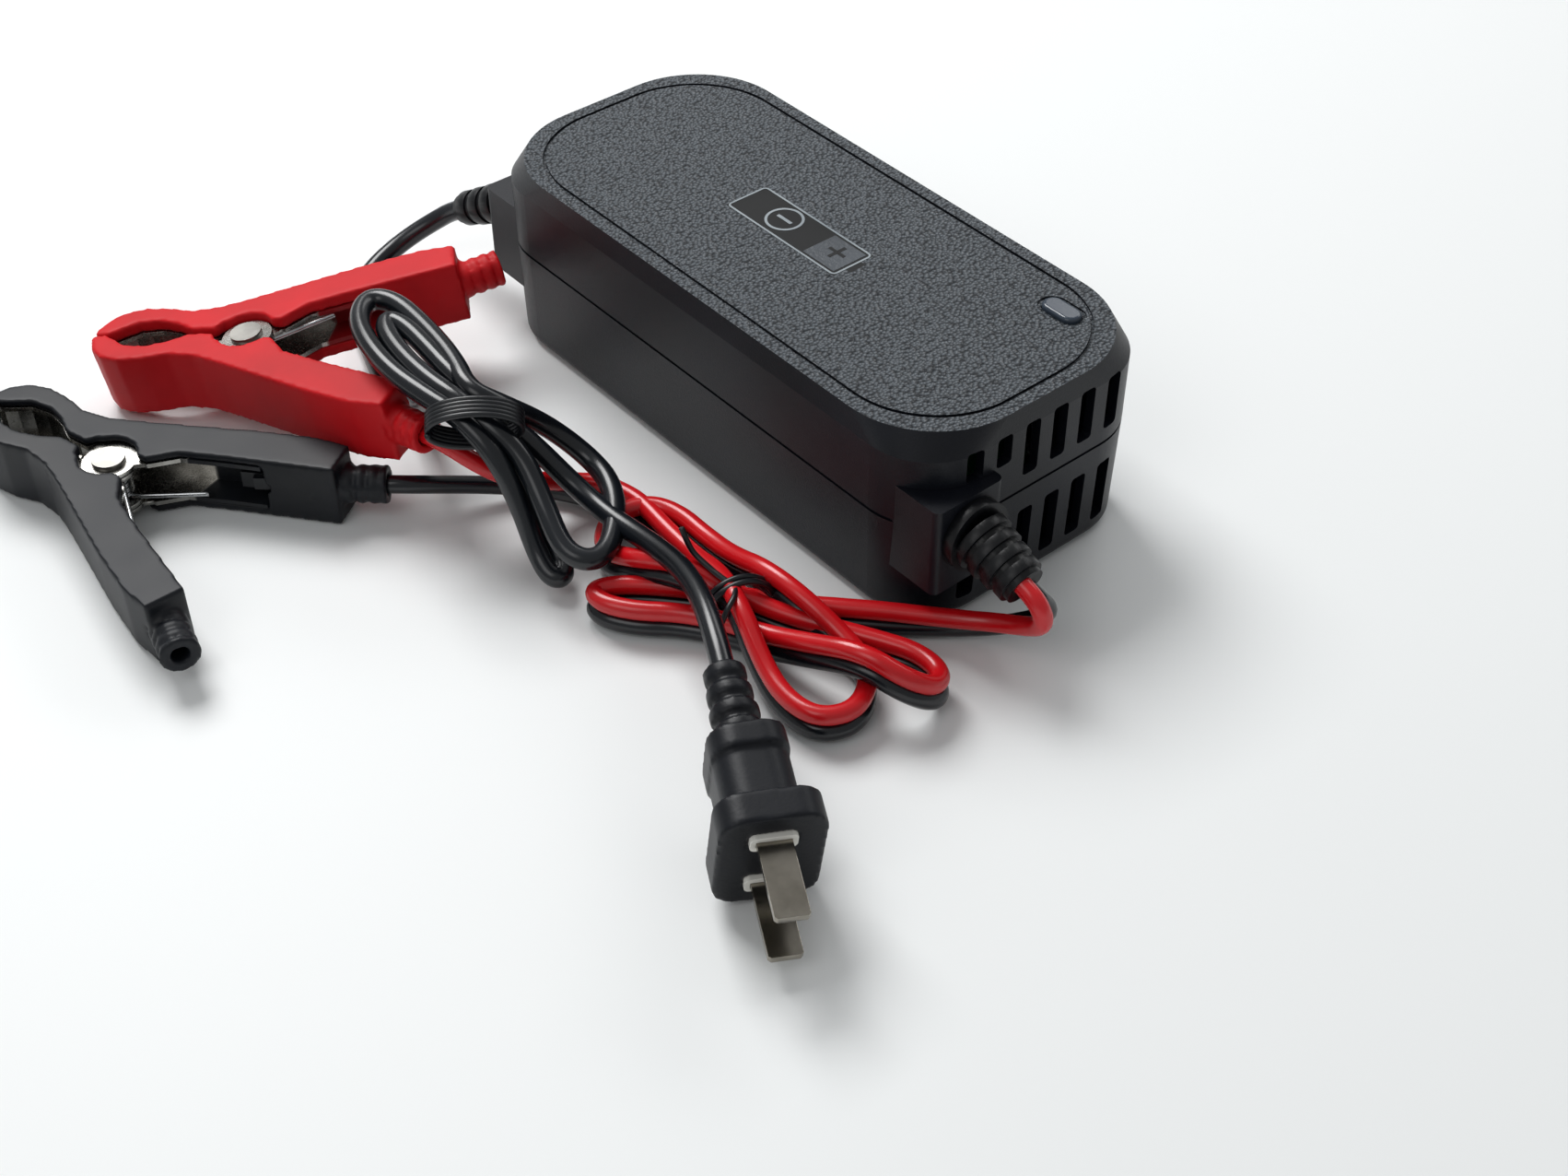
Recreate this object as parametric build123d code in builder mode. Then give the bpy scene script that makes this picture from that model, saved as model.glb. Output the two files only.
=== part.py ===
"""Switch-mode car battery charger with mains lead, plug, two-colour output lead and two battery clips.

Units are millimetres. Origin at the centre of the casing's underside, +X towards the end with the
output lead, +Z up. The long side with both glands faces -Y.
"""
import os
from math import cos, radians, sin, tan

from build123d import *

os.makedirs("parts", exist_ok=True)

# ---------------------------------------------------------------- casing
CASE_LENGTH = 145.0
CASE_WIDTH = 65.0
CASE_HEIGHT = 46.0
PARTING_HEIGHT = 25.5
CASE_WALL = 2.2
TOP_WALL = 2.4
CASE_CORNER = 15.5
TOP_CORNER = 21.5
SHOULDER_DROP = 5.0
SHOULDER_INSET = 0.6
BOTTOM_DRAFT = 1.5
BOTTOM_EDGE = 2.4
PANEL_INSET = 3.6
PANEL_GROOVE_WIDTH = 0.8
PANEL_GROOVE_DEPTH = 0.6
PARTING_LINE_HEIGHT = 0.7
PARTING_LINE_DEPTH = 0.5
LIP_HEIGHT = 2.0
LIP_THICKNESS = 1.2
LIP_CLEARANCE = 0.15

VENT_COUNT = 6
VENT_PITCH = 7.6
VENT_WIDTH = 4.0
VENT_CORNER = 0.9
TOP_VENT_LOW = 28.8
TOP_VENT_LOW_BY_GLAND = 34.5
TOP_VENT_HIGH = 41.5
BASE_VENT_LOW = 4.2
BASE_VENT_HIGH = 19.5
BASE_VENT_HIGH_BY_GLAND = 11.0
VENTS_BY_GLAND = 2

GLAND_Y = -22.0
BOSS_REACH = 2.6
BOSS_DEPTH = 14.0
BOSS_OUTER_Y = -31.2
BOSS_INNER_Y = -13.6
BOSS_LOW = 13.4
BOSS_HIGH = 34.2
BOSS_EDGE = 1.6
BOSS_WALL = 2.2
BOSS_FACE_WALL = 3.0
POCKET_LOW = 18.2
POCKET_HIGH = 32.6
NECK_RADIUS = 4.8
NECK_CLEARANCE = 0.1
COLLAR_THICKNESS = 2.6
INNER_FLANGE_THICKNESS = 2.4
FLANGE_GAP = 0.2

POST_X = 62.0
POST_Y = 16.0
POST_RADIUS = 3.6
POST_FOOT = 6.0
CASE_SCREW_RADIUS = 1.5
CASE_SCREW_LENGTH = 13.0
CASE_SCREW_HEAD_RADIUS = 2.8
CASE_SCREW_HEAD_HEIGHT = 2.0
SCREW_HEAD_SINK = 2.6
SCREW_CLEARANCE = 0.15

LENS_X = 54.5
LENS_Y = 21.5
LENS_LENGTH = 9.4
LENS_WIDTH = 4.8
LENS_STAND = 0.8
LENS_CLEARANCE = 0.1
LENS_FLANGE = 1.3
LENS_FLANGE_THICKNESS = 1.0
LENS_DISH_MARGIN = 1.0
LENS_DISH_DEPTH = 0.4
LENS_STEM_RADIUS = 2.0

SYMBOL_X = -2.0
SYMBOL_LENGTH = 35.0
SYMBOL_WIDTH = 11.2
SYMBOL_DEPTH = 0.3
SYMBOL_NUB_LENGTH = 1.4
SYMBOL_NUB_WIDTH = 4.2

# ---------------------------------------------------------------- circuit board
BOARD_LENGTH = 112.0
BOARD_WIDTH = 54.0
BOARD_THICKNESS = 1.6
BOARD_LOW = 7.0
BOARD_CORNER = 4.0
STANDOFF_X = 46.0
STANDOFF_Y = 22.5
STANDOFF_RADIUS = 3.2
BOARD_SCREW_RADIUS = 1.25
BOARD_SCREW_HEAD_RADIUS = 2.5
BOARD_SCREW_HEAD_HEIGHT = 1.6
BOARD_SCREW_LENGTH = 6.0
BOARD_TOP = BOARD_LOW + BOARD_THICKNESS

# ---------------------------------------------------------------- cords
MAINS_DIAMETER = 4.6
WIRE_DIAMETER = 4.0
WIRE_STACK = 4.1
PAIR_TWIST_AT_RELIEF = 40.0
MAINS_RELIEF_LENGTH = 19.0
MAINS_RELIEF_TIP = 4.0
MAINS_RELIEF_ROOT = 5.2
MAINS_RELIEF_DROOP = 27.0
MAINS_RELIEF_SWING = 14.0
OUTPUT_RELIEF_LENGTH = 13.5
OUTPUT_RELIEF_TIP = 5.0
OUTPUT_RELIEF_ROOT = 6.6
OUTPUT_RELIEF_DROOP = 17.0
OUTPUT_RELIEF_SWING = 0.0
RELIEF_RIBS = 4

# ---------------------------------------------------------------- mains plug
BLADE_WIDTH = 6.35
BLADE_THICKNESS = 1.5
BLADE_LENGTH = 15.9
BLADE_SPACING = 12.7
BLADE_BURIED = 9.0
PLUG_FACE_HEIGHT = 25.4
PLUG_FACE_WIDTH = 19.5
PLUG_FACE_THICKNESS = 6.5
PLUG_FACE_CORNER = 5.0
PLUG_NECK_HEIGHT = 17.0
PLUG_NECK_WIDTH = 14.0
PLUG_NECK_LENGTH = 12.0
PLUG_GRIP_HEIGHT = 19.0
PLUG_GRIP_WIDTH = 14.6
PLUG_GRIP_THICKNESS = 5.0
PLUG_RELIEF_LENGTH = 18.0
PLUG_RELIEF_ROOT = 10.4
PLUG_RELIEF_TIP = 7.8
PLUG_INSERT_RIM = 1.1
PLUG_INSERT_STAND = 0.8
PLUG_INSERT_DEPTH = 4.0
PLUG_ORIGIN = (105.6, -98.0, 13.2)
PLUG_AZIMUTH = -27.9
PLUG_TILT = -8.3
PLUG_ROLL = -3.5

# ---------------------------------------------------------------- battery clips
CLIP_HEIGHT = 15.0
BOOT_WALL = 1.8
SHEET = 1.0
EAR_RADIUS = 5.6
EAR_CLEARANCE = 0.45
WIRED_SHEET_LOW = 1.9
FREE_SHEET_LOW = 3.1
SHEET_CLEARANCE = 0.15
RIVET_RADIUS = 2.0
RIVET_RUNNING = 0.05
RIVET_HEAD_RADIUS = 3.5
RIVET_HEAD_HEIGHT = 1.1
SPRING_RADIUS = 3.3
SPRING_WIRE = 1.2
SPRING_TURNS = 5
SPRING_TURN_OVERLAP = 0.03
SPRING_LEG = 17.2
SPRING_LEG_ANGLE = 61.0
JAW_GAP = 0.15
TOOTH_PITCH = 1.7
TOOTH_DEPTH = 0.6
TOOTH_COUNT = 3
TAIL_RADIUS = 4.2
TAIL_LENGTH = 12.0
TAIL_BASE = (39.0, 24.6)
TAIL_ANGLE = 31.0
TAIL_RIBS = 4
TAIL_RIB_PITCH = 2.6
TAIL_RIB_DEPTH = 0.7
TAIL_HOLE_FREE = 1.9
TAIL_HOLE_WIRED = 2.4
CRIMP_RADIUS = 2.4
CRIMP_LENGTH = 7.0
RED_CLIP_PLACE = (-77.9, -91.6, 6.3)
RED_CLIP_AZIMUTH = 41.5
RED_CLIP_TILT = 8.8
BLACK_CLIP_PLACE = (-67.0, -134.0, 0.0)
BLACK_CLIP_AZIMUTH = 17.0
CHANNEL_END = 28.0
WIRE_INSERTION = 3.0
TANG_LENGTH = 18.5
RED_WIRED_SIDE = -1
BLACK_WIRED_SIDE = 1

# Outer edge of one clip arm from nose to handle end, and its inner edge back to the nose.
# x runs from nose to handle through the rivet at the origin, y away from the clip's middle.
ARM_OUTER = [(-36.0, 1.8), (-34.6, 5.4), (-31.5, 8.4), (-27.0, 9.8), (-21.5, 9.6), (-15.5, 8.2),
             (-9.0, 9.2), (-2.4, 12.0), (6.0, 16.0), (21.0, 23.2), (33.0, 28.2), (40.5, 29.6)]
ARM_HANDLE_END = [(43.0, 21.4)]
ARM_INNER = [(31.0, 16.6), (21.0, 12.6), (12.0, 8.6)]
ARM_JAW = [(-9.0, 0.9), (-13.0, 0.9), (-17.0, 3.2), (-22.0, 4.7), (-27.0, 4.2), (-31.0, 1.4)]


def save(part, name):
    """Label a finished part with its name and write its STEP file."""
    part.label = name
    export_step(part, f"parts/{name}.step")


# ================================================================ casing shells
def casing_block(inset, low, high):
    """The casing's outside, or with an inset its inside, from low up to high.

    The walls have the tight plan corner. Over the last few millimetres they slope in to the top
    face, whose plan corner is wider, so the shoulder is broad at the corners.
    """
    length = CASE_LENGTH - 2 * inset
    width = CASE_WIDTH - 2 * inset
    shoulder = high - SHOULDER_DROP
    with BuildPart() as block:
        with BuildSketch(Plane.XY.offset(low)):
            RectangleRounded(length, width, CASE_CORNER - inset)
        extrude(amount=shoulder - low)
        with BuildSketch(Plane.XY.offset(shoulder)):
            RectangleRounded(length, width, CASE_CORNER - inset)
        with BuildSketch(Plane.XY.offset(high)):
            RectangleRounded(length - 2 * SHOULDER_INSET, width - 2 * SHOULDER_INSET, TOP_CORNER - inset)
        loft(ruled=True)
    return block.part


def gland_boss(end, low, high):
    """The squared-off boss that carries a gland, at end +1 or -1, between two heights."""
    outer = CASE_LENGTH / 2 + BOSS_REACH
    middle_y = (BOSS_OUTER_Y + BOSS_INNER_Y) / 2
    with BuildPart() as boss:
        with BuildSketch(Plane.XY.offset(low)):
            with Locations((end * (outer - BOSS_DEPTH / 2), middle_y)):
                RectangleRounded(BOSS_DEPTH, BOSS_INNER_Y - BOSS_OUTER_Y, BOSS_EDGE)
        extrude(amount=high - low)
    return boss.part


def boss_pocket(end, low, high):
    """The room inside a boss for the strain relief's inner flange."""
    outer = CASE_LENGTH / 2 + BOSS_REACH - BOSS_FACE_WALL
    pocket_y = (BOSS_OUTER_Y + BOSS_WALL + BOSS_INNER_Y) / 2
    with BuildPart() as pocket:
        with BuildSketch(Plane.XY.offset(low)):
            with Locations((end * (outer - BOSS_DEPTH / 2), pocket_y)):
                Rectangle(BOSS_DEPTH, BOSS_INNER_Y - BOSS_OUTER_Y - BOSS_WALL)
        extrude(amount=high - low)
    return pocket.part


def vent_slots(low, high, low_by_gland, high_by_gland):
    """The row of upright slots through the +X end wall."""
    with BuildPart() as slots:
        for index in range(VENT_COUNT):
            y = (index - (VENT_COUNT - 1) / 2) * VENT_PITCH
            slot_low = low_by_gland if index < VENTS_BY_GLAND else low
            slot_high = high_by_gland if index < VENTS_BY_GLAND else high
            with BuildSketch(Plane.YZ.offset(CASE_LENGTH / 2 - 2 * CASE_WALL)):
                with Locations((y, (slot_low + slot_high) / 2)):
                    RectangleRounded(VENT_WIDTH, slot_high - slot_low, VENT_CORNER)
            extrude(amount=4 * CASE_WALL)
    return slots.part


def gland_holes():
    """Both bores for the necks of the strain reliefs, on the parting plane."""
    with BuildPart() as holes:
        with BuildSketch(Plane.YZ.offset(-CASE_LENGTH)):
            with Locations((GLAND_Y, PARTING_HEIGHT)):
                Circle(NECK_RADIUS + NECK_CLEARANCE)
        extrude(amount=2 * CASE_LENGTH)
    return holes.part


post_places = [(x, y) for x in (-POST_X, POST_X) for y in (-POST_Y, POST_Y)]
standoff_places = [(x, y) for x in (-STANDOFF_X, STANDOFF_X) for y in (-STANDOFF_Y, STANDOFF_Y)]

with BuildPart() as top_cover:
    add(casing_block(0, PARTING_HEIGHT, CASE_HEIGHT))
    for end in (-1, 1):
        add(gland_boss(end, PARTING_HEIGHT, BOSS_HIGH))
    add(casing_block(CASE_WALL, PARTING_HEIGHT, CASE_HEIGHT - TOP_WALL), mode=Mode.SUBTRACT)
    for end in (-1, 1):
        add(boss_pocket(end, PARTING_HEIGHT, POCKET_HIGH), mode=Mode.SUBTRACT)
    add(vent_slots(TOP_VENT_LOW, TOP_VENT_HIGH, TOP_VENT_LOW_BY_GLAND, TOP_VENT_HIGH), mode=Mode.SUBTRACT)
    # shallow groove round the textured panel
    with BuildSketch(Plane.XY.offset(CASE_HEIGHT - PANEL_GROOVE_DEPTH)):
        RectangleRounded(CASE_LENGTH - 2 * PANEL_INSET, CASE_WIDTH - 2 * PANEL_INSET, TOP_CORNER)
        RectangleRounded(
            CASE_LENGTH - 2 * PANEL_INSET - 2 * PANEL_GROOVE_WIDTH,
            CASE_WIDTH - 2 * PANEL_INSET - 2 * PANEL_GROOVE_WIDTH,
            TOP_CORNER - PANEL_GROOVE_WIDTH,
            mode=Mode.SUBTRACT,
        )
    extrude(amount=PANEL_GROOVE_DEPTH, mode=Mode.SUBTRACT)
    # dish and opening for the lens, and the shallow seat of the symbol
    with BuildSketch(Plane.XY.offset(CASE_HEIGHT - LENS_DISH_DEPTH)):
        with Locations((LENS_X, LENS_Y)):
            SlotOverall(LENS_LENGTH + 2 * LENS_DISH_MARGIN, LENS_WIDTH + 2 * LENS_DISH_MARGIN)
    extrude(amount=LENS_DISH_DEPTH, mode=Mode.SUBTRACT)
    with BuildSketch(Plane.XY.offset(CASE_HEIGHT - 2 * TOP_WALL)):
        with Locations((LENS_X, LENS_Y)):
            SlotOverall(LENS_LENGTH + 2 * LENS_CLEARANCE, LENS_WIDTH + 2 * LENS_CLEARANCE)
    extrude(amount=2 * TOP_WALL, mode=Mode.SUBTRACT)
    with BuildSketch(Plane.XY.offset(CASE_HEIGHT - SYMBOL_DEPTH)):
        with Locations((SYMBOL_X, 0)):
            Rectangle(SYMBOL_LENGTH, SYMBOL_WIDTH)
        with Locations((SYMBOL_X + SYMBOL_LENGTH / 2 + SYMBOL_NUB_LENGTH / 2, 0)):
            Rectangle(SYMBOL_NUB_LENGTH, SYMBOL_NUB_WIDTH)
    extrude(amount=SYMBOL_DEPTH, mode=Mode.SUBTRACT)
    # screw posts reach down to the base's sleeves
    with BuildSketch(Plane.XY.offset(POST_FOOT)):
        with Locations(*post_places):
            Circle(POST_RADIUS)
    extrude(amount=CASE_HEIGHT - TOP_WALL - POST_FOOT)
    with BuildSketch(Plane.XY.offset(POST_FOOT)):
        with Locations(*post_places):
            Circle(CASE_SCREW_RADIUS)
    extrude(amount=CASE_SCREW_LENGTH, mode=Mode.SUBTRACT)
    add(gland_holes(), mode=Mode.SUBTRACT)
save(top_cover.part, "top_cover")

with BuildPart() as bottom_cover:
    with BuildSketch(Plane.XY.offset(PARTING_HEIGHT)):
        RectangleRounded(CASE_LENGTH, CASE_WIDTH, CASE_CORNER)
    extrude(amount=-PARTING_HEIGHT, taper=BOTTOM_DRAFT)
    fillet(bottom_cover.faces().sort_by(Axis.Z)[0].edges(), BOTTOM_EDGE)
    # shadow line just under the joint of the covers, cut before the gland bosses cross it
    with BuildSketch(Plane.XY.offset(PARTING_HEIGHT - PARTING_LINE_HEIGHT)):
        RectangleRounded(CASE_LENGTH + 2.0, CASE_WIDTH + 2.0, CASE_CORNER + 1.0)
        RectangleRounded(
            CASE_LENGTH - 2 * PARTING_LINE_DEPTH, CASE_WIDTH - 2 * PARTING_LINE_DEPTH,
            CASE_CORNER - PARTING_LINE_DEPTH, mode=Mode.SUBTRACT,
        )
    extrude(amount=PARTING_LINE_HEIGHT, mode=Mode.SUBTRACT)
    for end in (-1, 1):
        add(gland_boss(end, BOSS_LOW, PARTING_HEIGHT))
    with BuildSketch(Plane.XY.offset(PARTING_HEIGHT)):
        RectangleRounded(
            CASE_LENGTH - 2 * CASE_WALL, CASE_WIDTH - 2 * CASE_WALL, CASE_CORNER - CASE_WALL
        )
    extrude(amount=-(PARTING_HEIGHT - CASE_WALL), taper=BOTTOM_DRAFT, mode=Mode.SUBTRACT)
    for end in (-1, 1):
        add(boss_pocket(end, POCKET_LOW, PARTING_HEIGHT), mode=Mode.SUBTRACT)
    # locating lip inside the top cover's wall, rooted in the base's own wall
    with BuildSketch(Plane.XY.offset(PARTING_HEIGHT - LIP_HEIGHT)):
        RectangleRounded(CASE_LENGTH - CASE_WALL, CASE_WIDTH - CASE_WALL, CASE_CORNER - CASE_WALL / 2)
        RectangleRounded(
            CASE_LENGTH - 2 * (CASE_WALL + LIP_CLEARANCE + LIP_THICKNESS),
            CASE_WIDTH - 2 * (CASE_WALL + LIP_CLEARANCE + LIP_THICKNESS),
            CASE_CORNER - CASE_WALL - LIP_CLEARANCE - LIP_THICKNESS, mode=Mode.SUBTRACT,
        )
    extrude(amount=LIP_HEIGHT)
    lip_length = CASE_LENGTH - 2 * CASE_WALL - 2 * LIP_CLEARANCE
    lip_width = CASE_WIDTH - 2 * CASE_WALL - 2 * LIP_CLEARANCE
    lip_corner = CASE_CORNER - CASE_WALL - LIP_CLEARANCE
    with BuildSketch(Plane.XY.offset(PARTING_HEIGHT)):
        RectangleRounded(lip_length, lip_width, lip_corner)
        RectangleRounded(
            lip_length - 2 * LIP_THICKNESS, lip_width - 2 * LIP_THICKNESS,
            lip_corner - LIP_THICKNESS, mode=Mode.SUBTRACT,
        )
    extrude(amount=LIP_HEIGHT)
    add(vent_slots(BASE_VENT_LOW, BASE_VENT_HIGH, BASE_VENT_LOW, BASE_VENT_HIGH_BY_GLAND), mode=Mode.SUBTRACT)
    # the lip stops beside each gland's inner flange
    for end in (-1, 1):
        add(boss_pocket(end, PARTING_HEIGHT - LIP_HEIGHT, PARTING_HEIGHT + LIP_HEIGHT), mode=Mode.SUBTRACT)
    # sleeves under the screw posts, standoffs under the board
    with BuildSketch():
        with Locations(*post_places):
            Circle(POST_RADIUS)
    extrude(amount=POST_FOOT)
    with BuildSketch():
        with Locations(*standoff_places):
            Circle(STANDOFF_RADIUS)
    extrude(amount=BOARD_LOW)
    with BuildSketch():
        with Locations(*post_places):
            Circle(CASE_SCREW_HEAD_RADIUS + SCREW_CLEARANCE)
    extrude(amount=SCREW_HEAD_SINK, mode=Mode.SUBTRACT)
    with BuildSketch():
        with Locations(*post_places):
            Circle(CASE_SCREW_RADIUS + SCREW_CLEARANCE)
    extrude(amount=POST_FOOT, mode=Mode.SUBTRACT)
    with BuildSketch(Plane.XY.offset(BOARD_TOP - BOARD_SCREW_LENGTH)):
        with Locations(*standoff_places):
            Circle(BOARD_SCREW_RADIUS)
    extrude(amount=BOARD_SCREW_LENGTH, mode=Mode.SUBTRACT)
    add(gland_holes(), mode=Mode.SUBTRACT)
save(bottom_cover.part, "bottom_cover")

with BuildPart() as case_screws:
    head_low = SCREW_HEAD_SINK - CASE_SCREW_HEAD_HEIGHT
    with BuildSketch(Plane.XY.offset(head_low)):
        with Locations(*post_places):
            Circle(CASE_SCREW_HEAD_RADIUS)
    extrude(amount=CASE_SCREW_HEAD_HEIGHT)
    with BuildSketch(Plane.XY.offset(SCREW_HEAD_SINK)):
        with Locations(*post_places):
            Circle(CASE_SCREW_RADIUS)
    extrude(amount=CASE_SCREW_LENGTH)
    with BuildSketch(Plane.XY.offset(head_low)):
        with Locations(*post_places):
            Rectangle(3.6, 0.7)
            Rectangle(0.7, 3.6)
    extrude(amount=1.0, mode=Mode.SUBTRACT)
save(case_screws.part, "case_screws")

with BuildPart() as status_led_lens:
    flange_top = CASE_HEIGHT - TOP_WALL
    with BuildSketch(Plane.XY.offset(flange_top - LENS_FLANGE_THICKNESS)):
        with Locations((LENS_X, LENS_Y)):
            SlotOverall(LENS_LENGTH + 2 * LENS_FLANGE, LENS_WIDTH + 2 * LENS_FLANGE)
    extrude(amount=LENS_FLANGE_THICKNESS)
    with BuildSketch(Plane.XY.offset(flange_top)):
        with Locations((LENS_X, LENS_Y)):
            SlotOverall(LENS_LENGTH, LENS_WIDTH)
    extrude(amount=TOP_WALL + LENS_STAND)
    fillet(status_led_lens.faces().sort_by(Axis.Z)[-1].edges(), LENS_STAND)
    led_top = BOARD_TOP + 8.5
    with BuildSketch(Plane.XY.offset(led_top + 0.3)):
        with Locations((LENS_X - 2.0, LENS_Y)):
            Circle(LENS_STEM_RADIUS)
    extrude(amount=flange_top - LENS_FLANGE_THICKNESS - led_top - 0.3)
save(status_led_lens.part, "status_led_lens")

with BuildPart() as battery_symbol:
    with BuildSketch(Plane.XY.offset(CASE_HEIGHT - SYMBOL_DEPTH)):
        with Locations((SYMBOL_X, 0)):
            Rectangle(SYMBOL_LENGTH, SYMBOL_WIDTH)
        with Locations((SYMBOL_X + SYMBOL_LENGTH / 2 + SYMBOL_NUB_LENGTH / 2, 0)):
            Rectangle(SYMBOL_NUB_LENGTH, SYMBOL_NUB_WIDTH)
    extrude(amount=SYMBOL_DEPTH)
save(battery_symbol.part, "battery_symbol")


# ================================================================ strain reliefs
def strain_relief(end, root, tip, length, droop, swing):
    """Moulded relief: inner flange, neck in the casing's bore, collar, then a drooping ribbed tail.

    It is moulded round its cord, so it has no bore. Its tail leans down by droop and towards -Y by
    swing degrees. Returns the part and the centre and direction of its tip.
    """
    outer_x = CASE_LENGTH / 2 + BOSS_REACH
    inner_x = outer_x - BOSS_FACE_WALL - FLANGE_GAP
    across = Plane(origin=(0, GLAND_Y, PARTING_HEIGHT), x_dir=(0, 1, 0), z_dir=(end, 0, 0))
    tail_axis = Vector(
        end * cos(radians(droop)) * cos(radians(swing)),
        -cos(radians(droop)) * sin(radians(swing)),
        -sin(radians(droop)),
    )
    tail_root = Vector(end * (outer_x + COLLAR_THICKNESS - 0.2), GLAND_Y, PARTING_HEIGHT)
    pitch = length / RELIEF_RIBS
    with BuildPart() as relief:
        with BuildSketch(across.offset(inner_x - INNER_FLANGE_THICKNESS)):
            Circle(root)
        extrude(amount=INNER_FLANGE_THICKNESS)
        with BuildSketch(across.offset(inner_x)):
            Circle(NECK_RADIUS)
        extrude(amount=outer_x - inner_x)
        with BuildSketch(across.offset(outer_x)):
            Circle(root + 1.0)
        extrude(amount=COLLAR_THICKNESS)
        for index in range(RELIEF_RIBS):
            low = index * pitch
            radius = root + (tip - root) * (index + 0.5) / RELIEF_RIBS
            step = Plane(origin=tail_root + tail_axis * low, z_dir=tail_axis)
            with BuildSketch(step):
                Circle(radius)
            extrude(amount=pitch * 0.62)
            with BuildSketch(step.offset(pitch * 0.62)):
                Circle(radius * 0.84)
            extrude(amount=pitch * 0.38)
    return relief.part, tail_root + tail_axis * length, tail_axis


ac_relief, ac_exit, ac_direction = strain_relief(
    -1, MAINS_RELIEF_ROOT, MAINS_RELIEF_TIP, MAINS_RELIEF_LENGTH, MAINS_RELIEF_DROOP, MAINS_RELIEF_SWING
)
save(ac_relief, "ac_strain_relief")
dc_relief, dc_exit, dc_direction = strain_relief(
    1, OUTPUT_RELIEF_ROOT, OUTPUT_RELIEF_TIP, OUTPUT_RELIEF_LENGTH, OUTPUT_RELIEF_DROOP, OUTPUT_RELIEF_SWING
)
save(dc_relief, "dc_strain_relief")
print("mains relief tip", ac_exit, ac_direction)
print("output relief tip", dc_exit, dc_direction)

# ================================================================ circuit board and what it carries
with BuildPart() as circuit_board:
    with BuildSketch(Plane.XY.offset(BOARD_LOW)):
        RectangleRounded(BOARD_LENGTH, BOARD_WIDTH, BOARD_CORNER)
        with Locations(*standoff_places):
            Circle(BOARD_SCREW_RADIUS + SCREW_CLEARANCE, mode=Mode.SUBTRACT)
    extrude(amount=BOARD_THICKNESS)
save(circuit_board.part, "circuit_board")

with BuildPart() as board_screws:
    with BuildSketch(Plane.XY.offset(BOARD_TOP - BOARD_SCREW_LENGTH)):
        with Locations(*standoff_places):
            Circle(BOARD_SCREW_RADIUS)
    extrude(amount=BOARD_SCREW_LENGTH)
    with BuildSketch(Plane.XY.offset(BOARD_TOP)):
        with Locations(*standoff_places):
            Circle(BOARD_SCREW_HEAD_RADIUS)
    extrude(amount=BOARD_SCREW_HEAD_HEIGHT)
save(board_screws.part, "board_screws")

BOBBIN_BASE = 3.0
CORE_LENGTH = 30.0
CORE_DEPTH = 11.0
CORE_HEIGHT = 24.0
CORE_LEG = 9.0
CORE_YOKE = 4.2
CORE_WINDOW = 6.3
WINDING_DEPTH = 23.0
WINDING_GAP = 0.2

with BuildPart() as transformer_bobbin:
    with BuildSketch(Plane.XY.offset(BOARD_TOP)):
        RectangleRounded(CORE_LENGTH, WINDING_DEPTH, 1.0)
    extrude(amount=BOBBIN_BASE)
save(transformer_bobbin.part, "transformer_bobbin")

with BuildPart() as transformer_core:
    with BuildSketch(Plane.XZ.offset(-CORE_DEPTH / 2)):
        core_middle = BOARD_TOP + BOBBIN_BASE + CORE_HEIGHT / 2
        with Locations((0, core_middle)):
            Rectangle(CORE_LENGTH, CORE_HEIGHT)
        window_x = CORE_LEG / 2 + CORE_WINDOW / 2
        with Locations((-window_x, core_middle), (window_x, core_middle)):
            Rectangle(CORE_WINDOW, CORE_HEIGHT - 2 * CORE_YOKE, mode=Mode.SUBTRACT)
    extrude(amount=CORE_DEPTH)
save(transformer_core.part, "transformer_core")

with BuildPart() as transformer_winding:
    winding_low = BOARD_TOP + BOBBIN_BASE + CORE_YOKE + WINDING_GAP
    with BuildSketch(Plane.XY.offset(winding_low)):
        RectangleRounded(CORE_LEG + 2 * CORE_WINDOW - 2 * WINDING_GAP, WINDING_DEPTH, 3.0)
        Rectangle(CORE_LEG, CORE_DEPTH, mode=Mode.SUBTRACT)
    extrude(amount=CORE_HEIGHT - 2 * CORE_YOKE - 2 * WINDING_GAP)
save(transformer_winding.part, "transformer_winding")

SINK_Y = 24.6
SINK_THICKNESS = 2.0
SINK_HEIGHT = 27.0
FIN_DEPTH = 4.0
FIN_THICKNESS = 1.2


def heat_sink(middle_x, length, fins):
    """Upright aluminium plate near the +Y wall with short fins towards the board's middle."""
    with BuildPart() as sink:
        with BuildSketch(Plane.XY.offset(BOARD_TOP)):
            with Locations((middle_x, SINK_Y)):
                Rectangle(length, SINK_THICKNESS)
            for index in range(fins):
                x = middle_x + length / 2 - FIN_THICKNESS / 2 - index * 3.0
                with Locations((x, SINK_Y - SINK_THICKNESS / 2 - FIN_DEPTH / 2)):
                    Rectangle(FIN_THICKNESS, FIN_DEPTH)
        extrude(amount=SINK_HEIGHT)
    return sink.part


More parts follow.
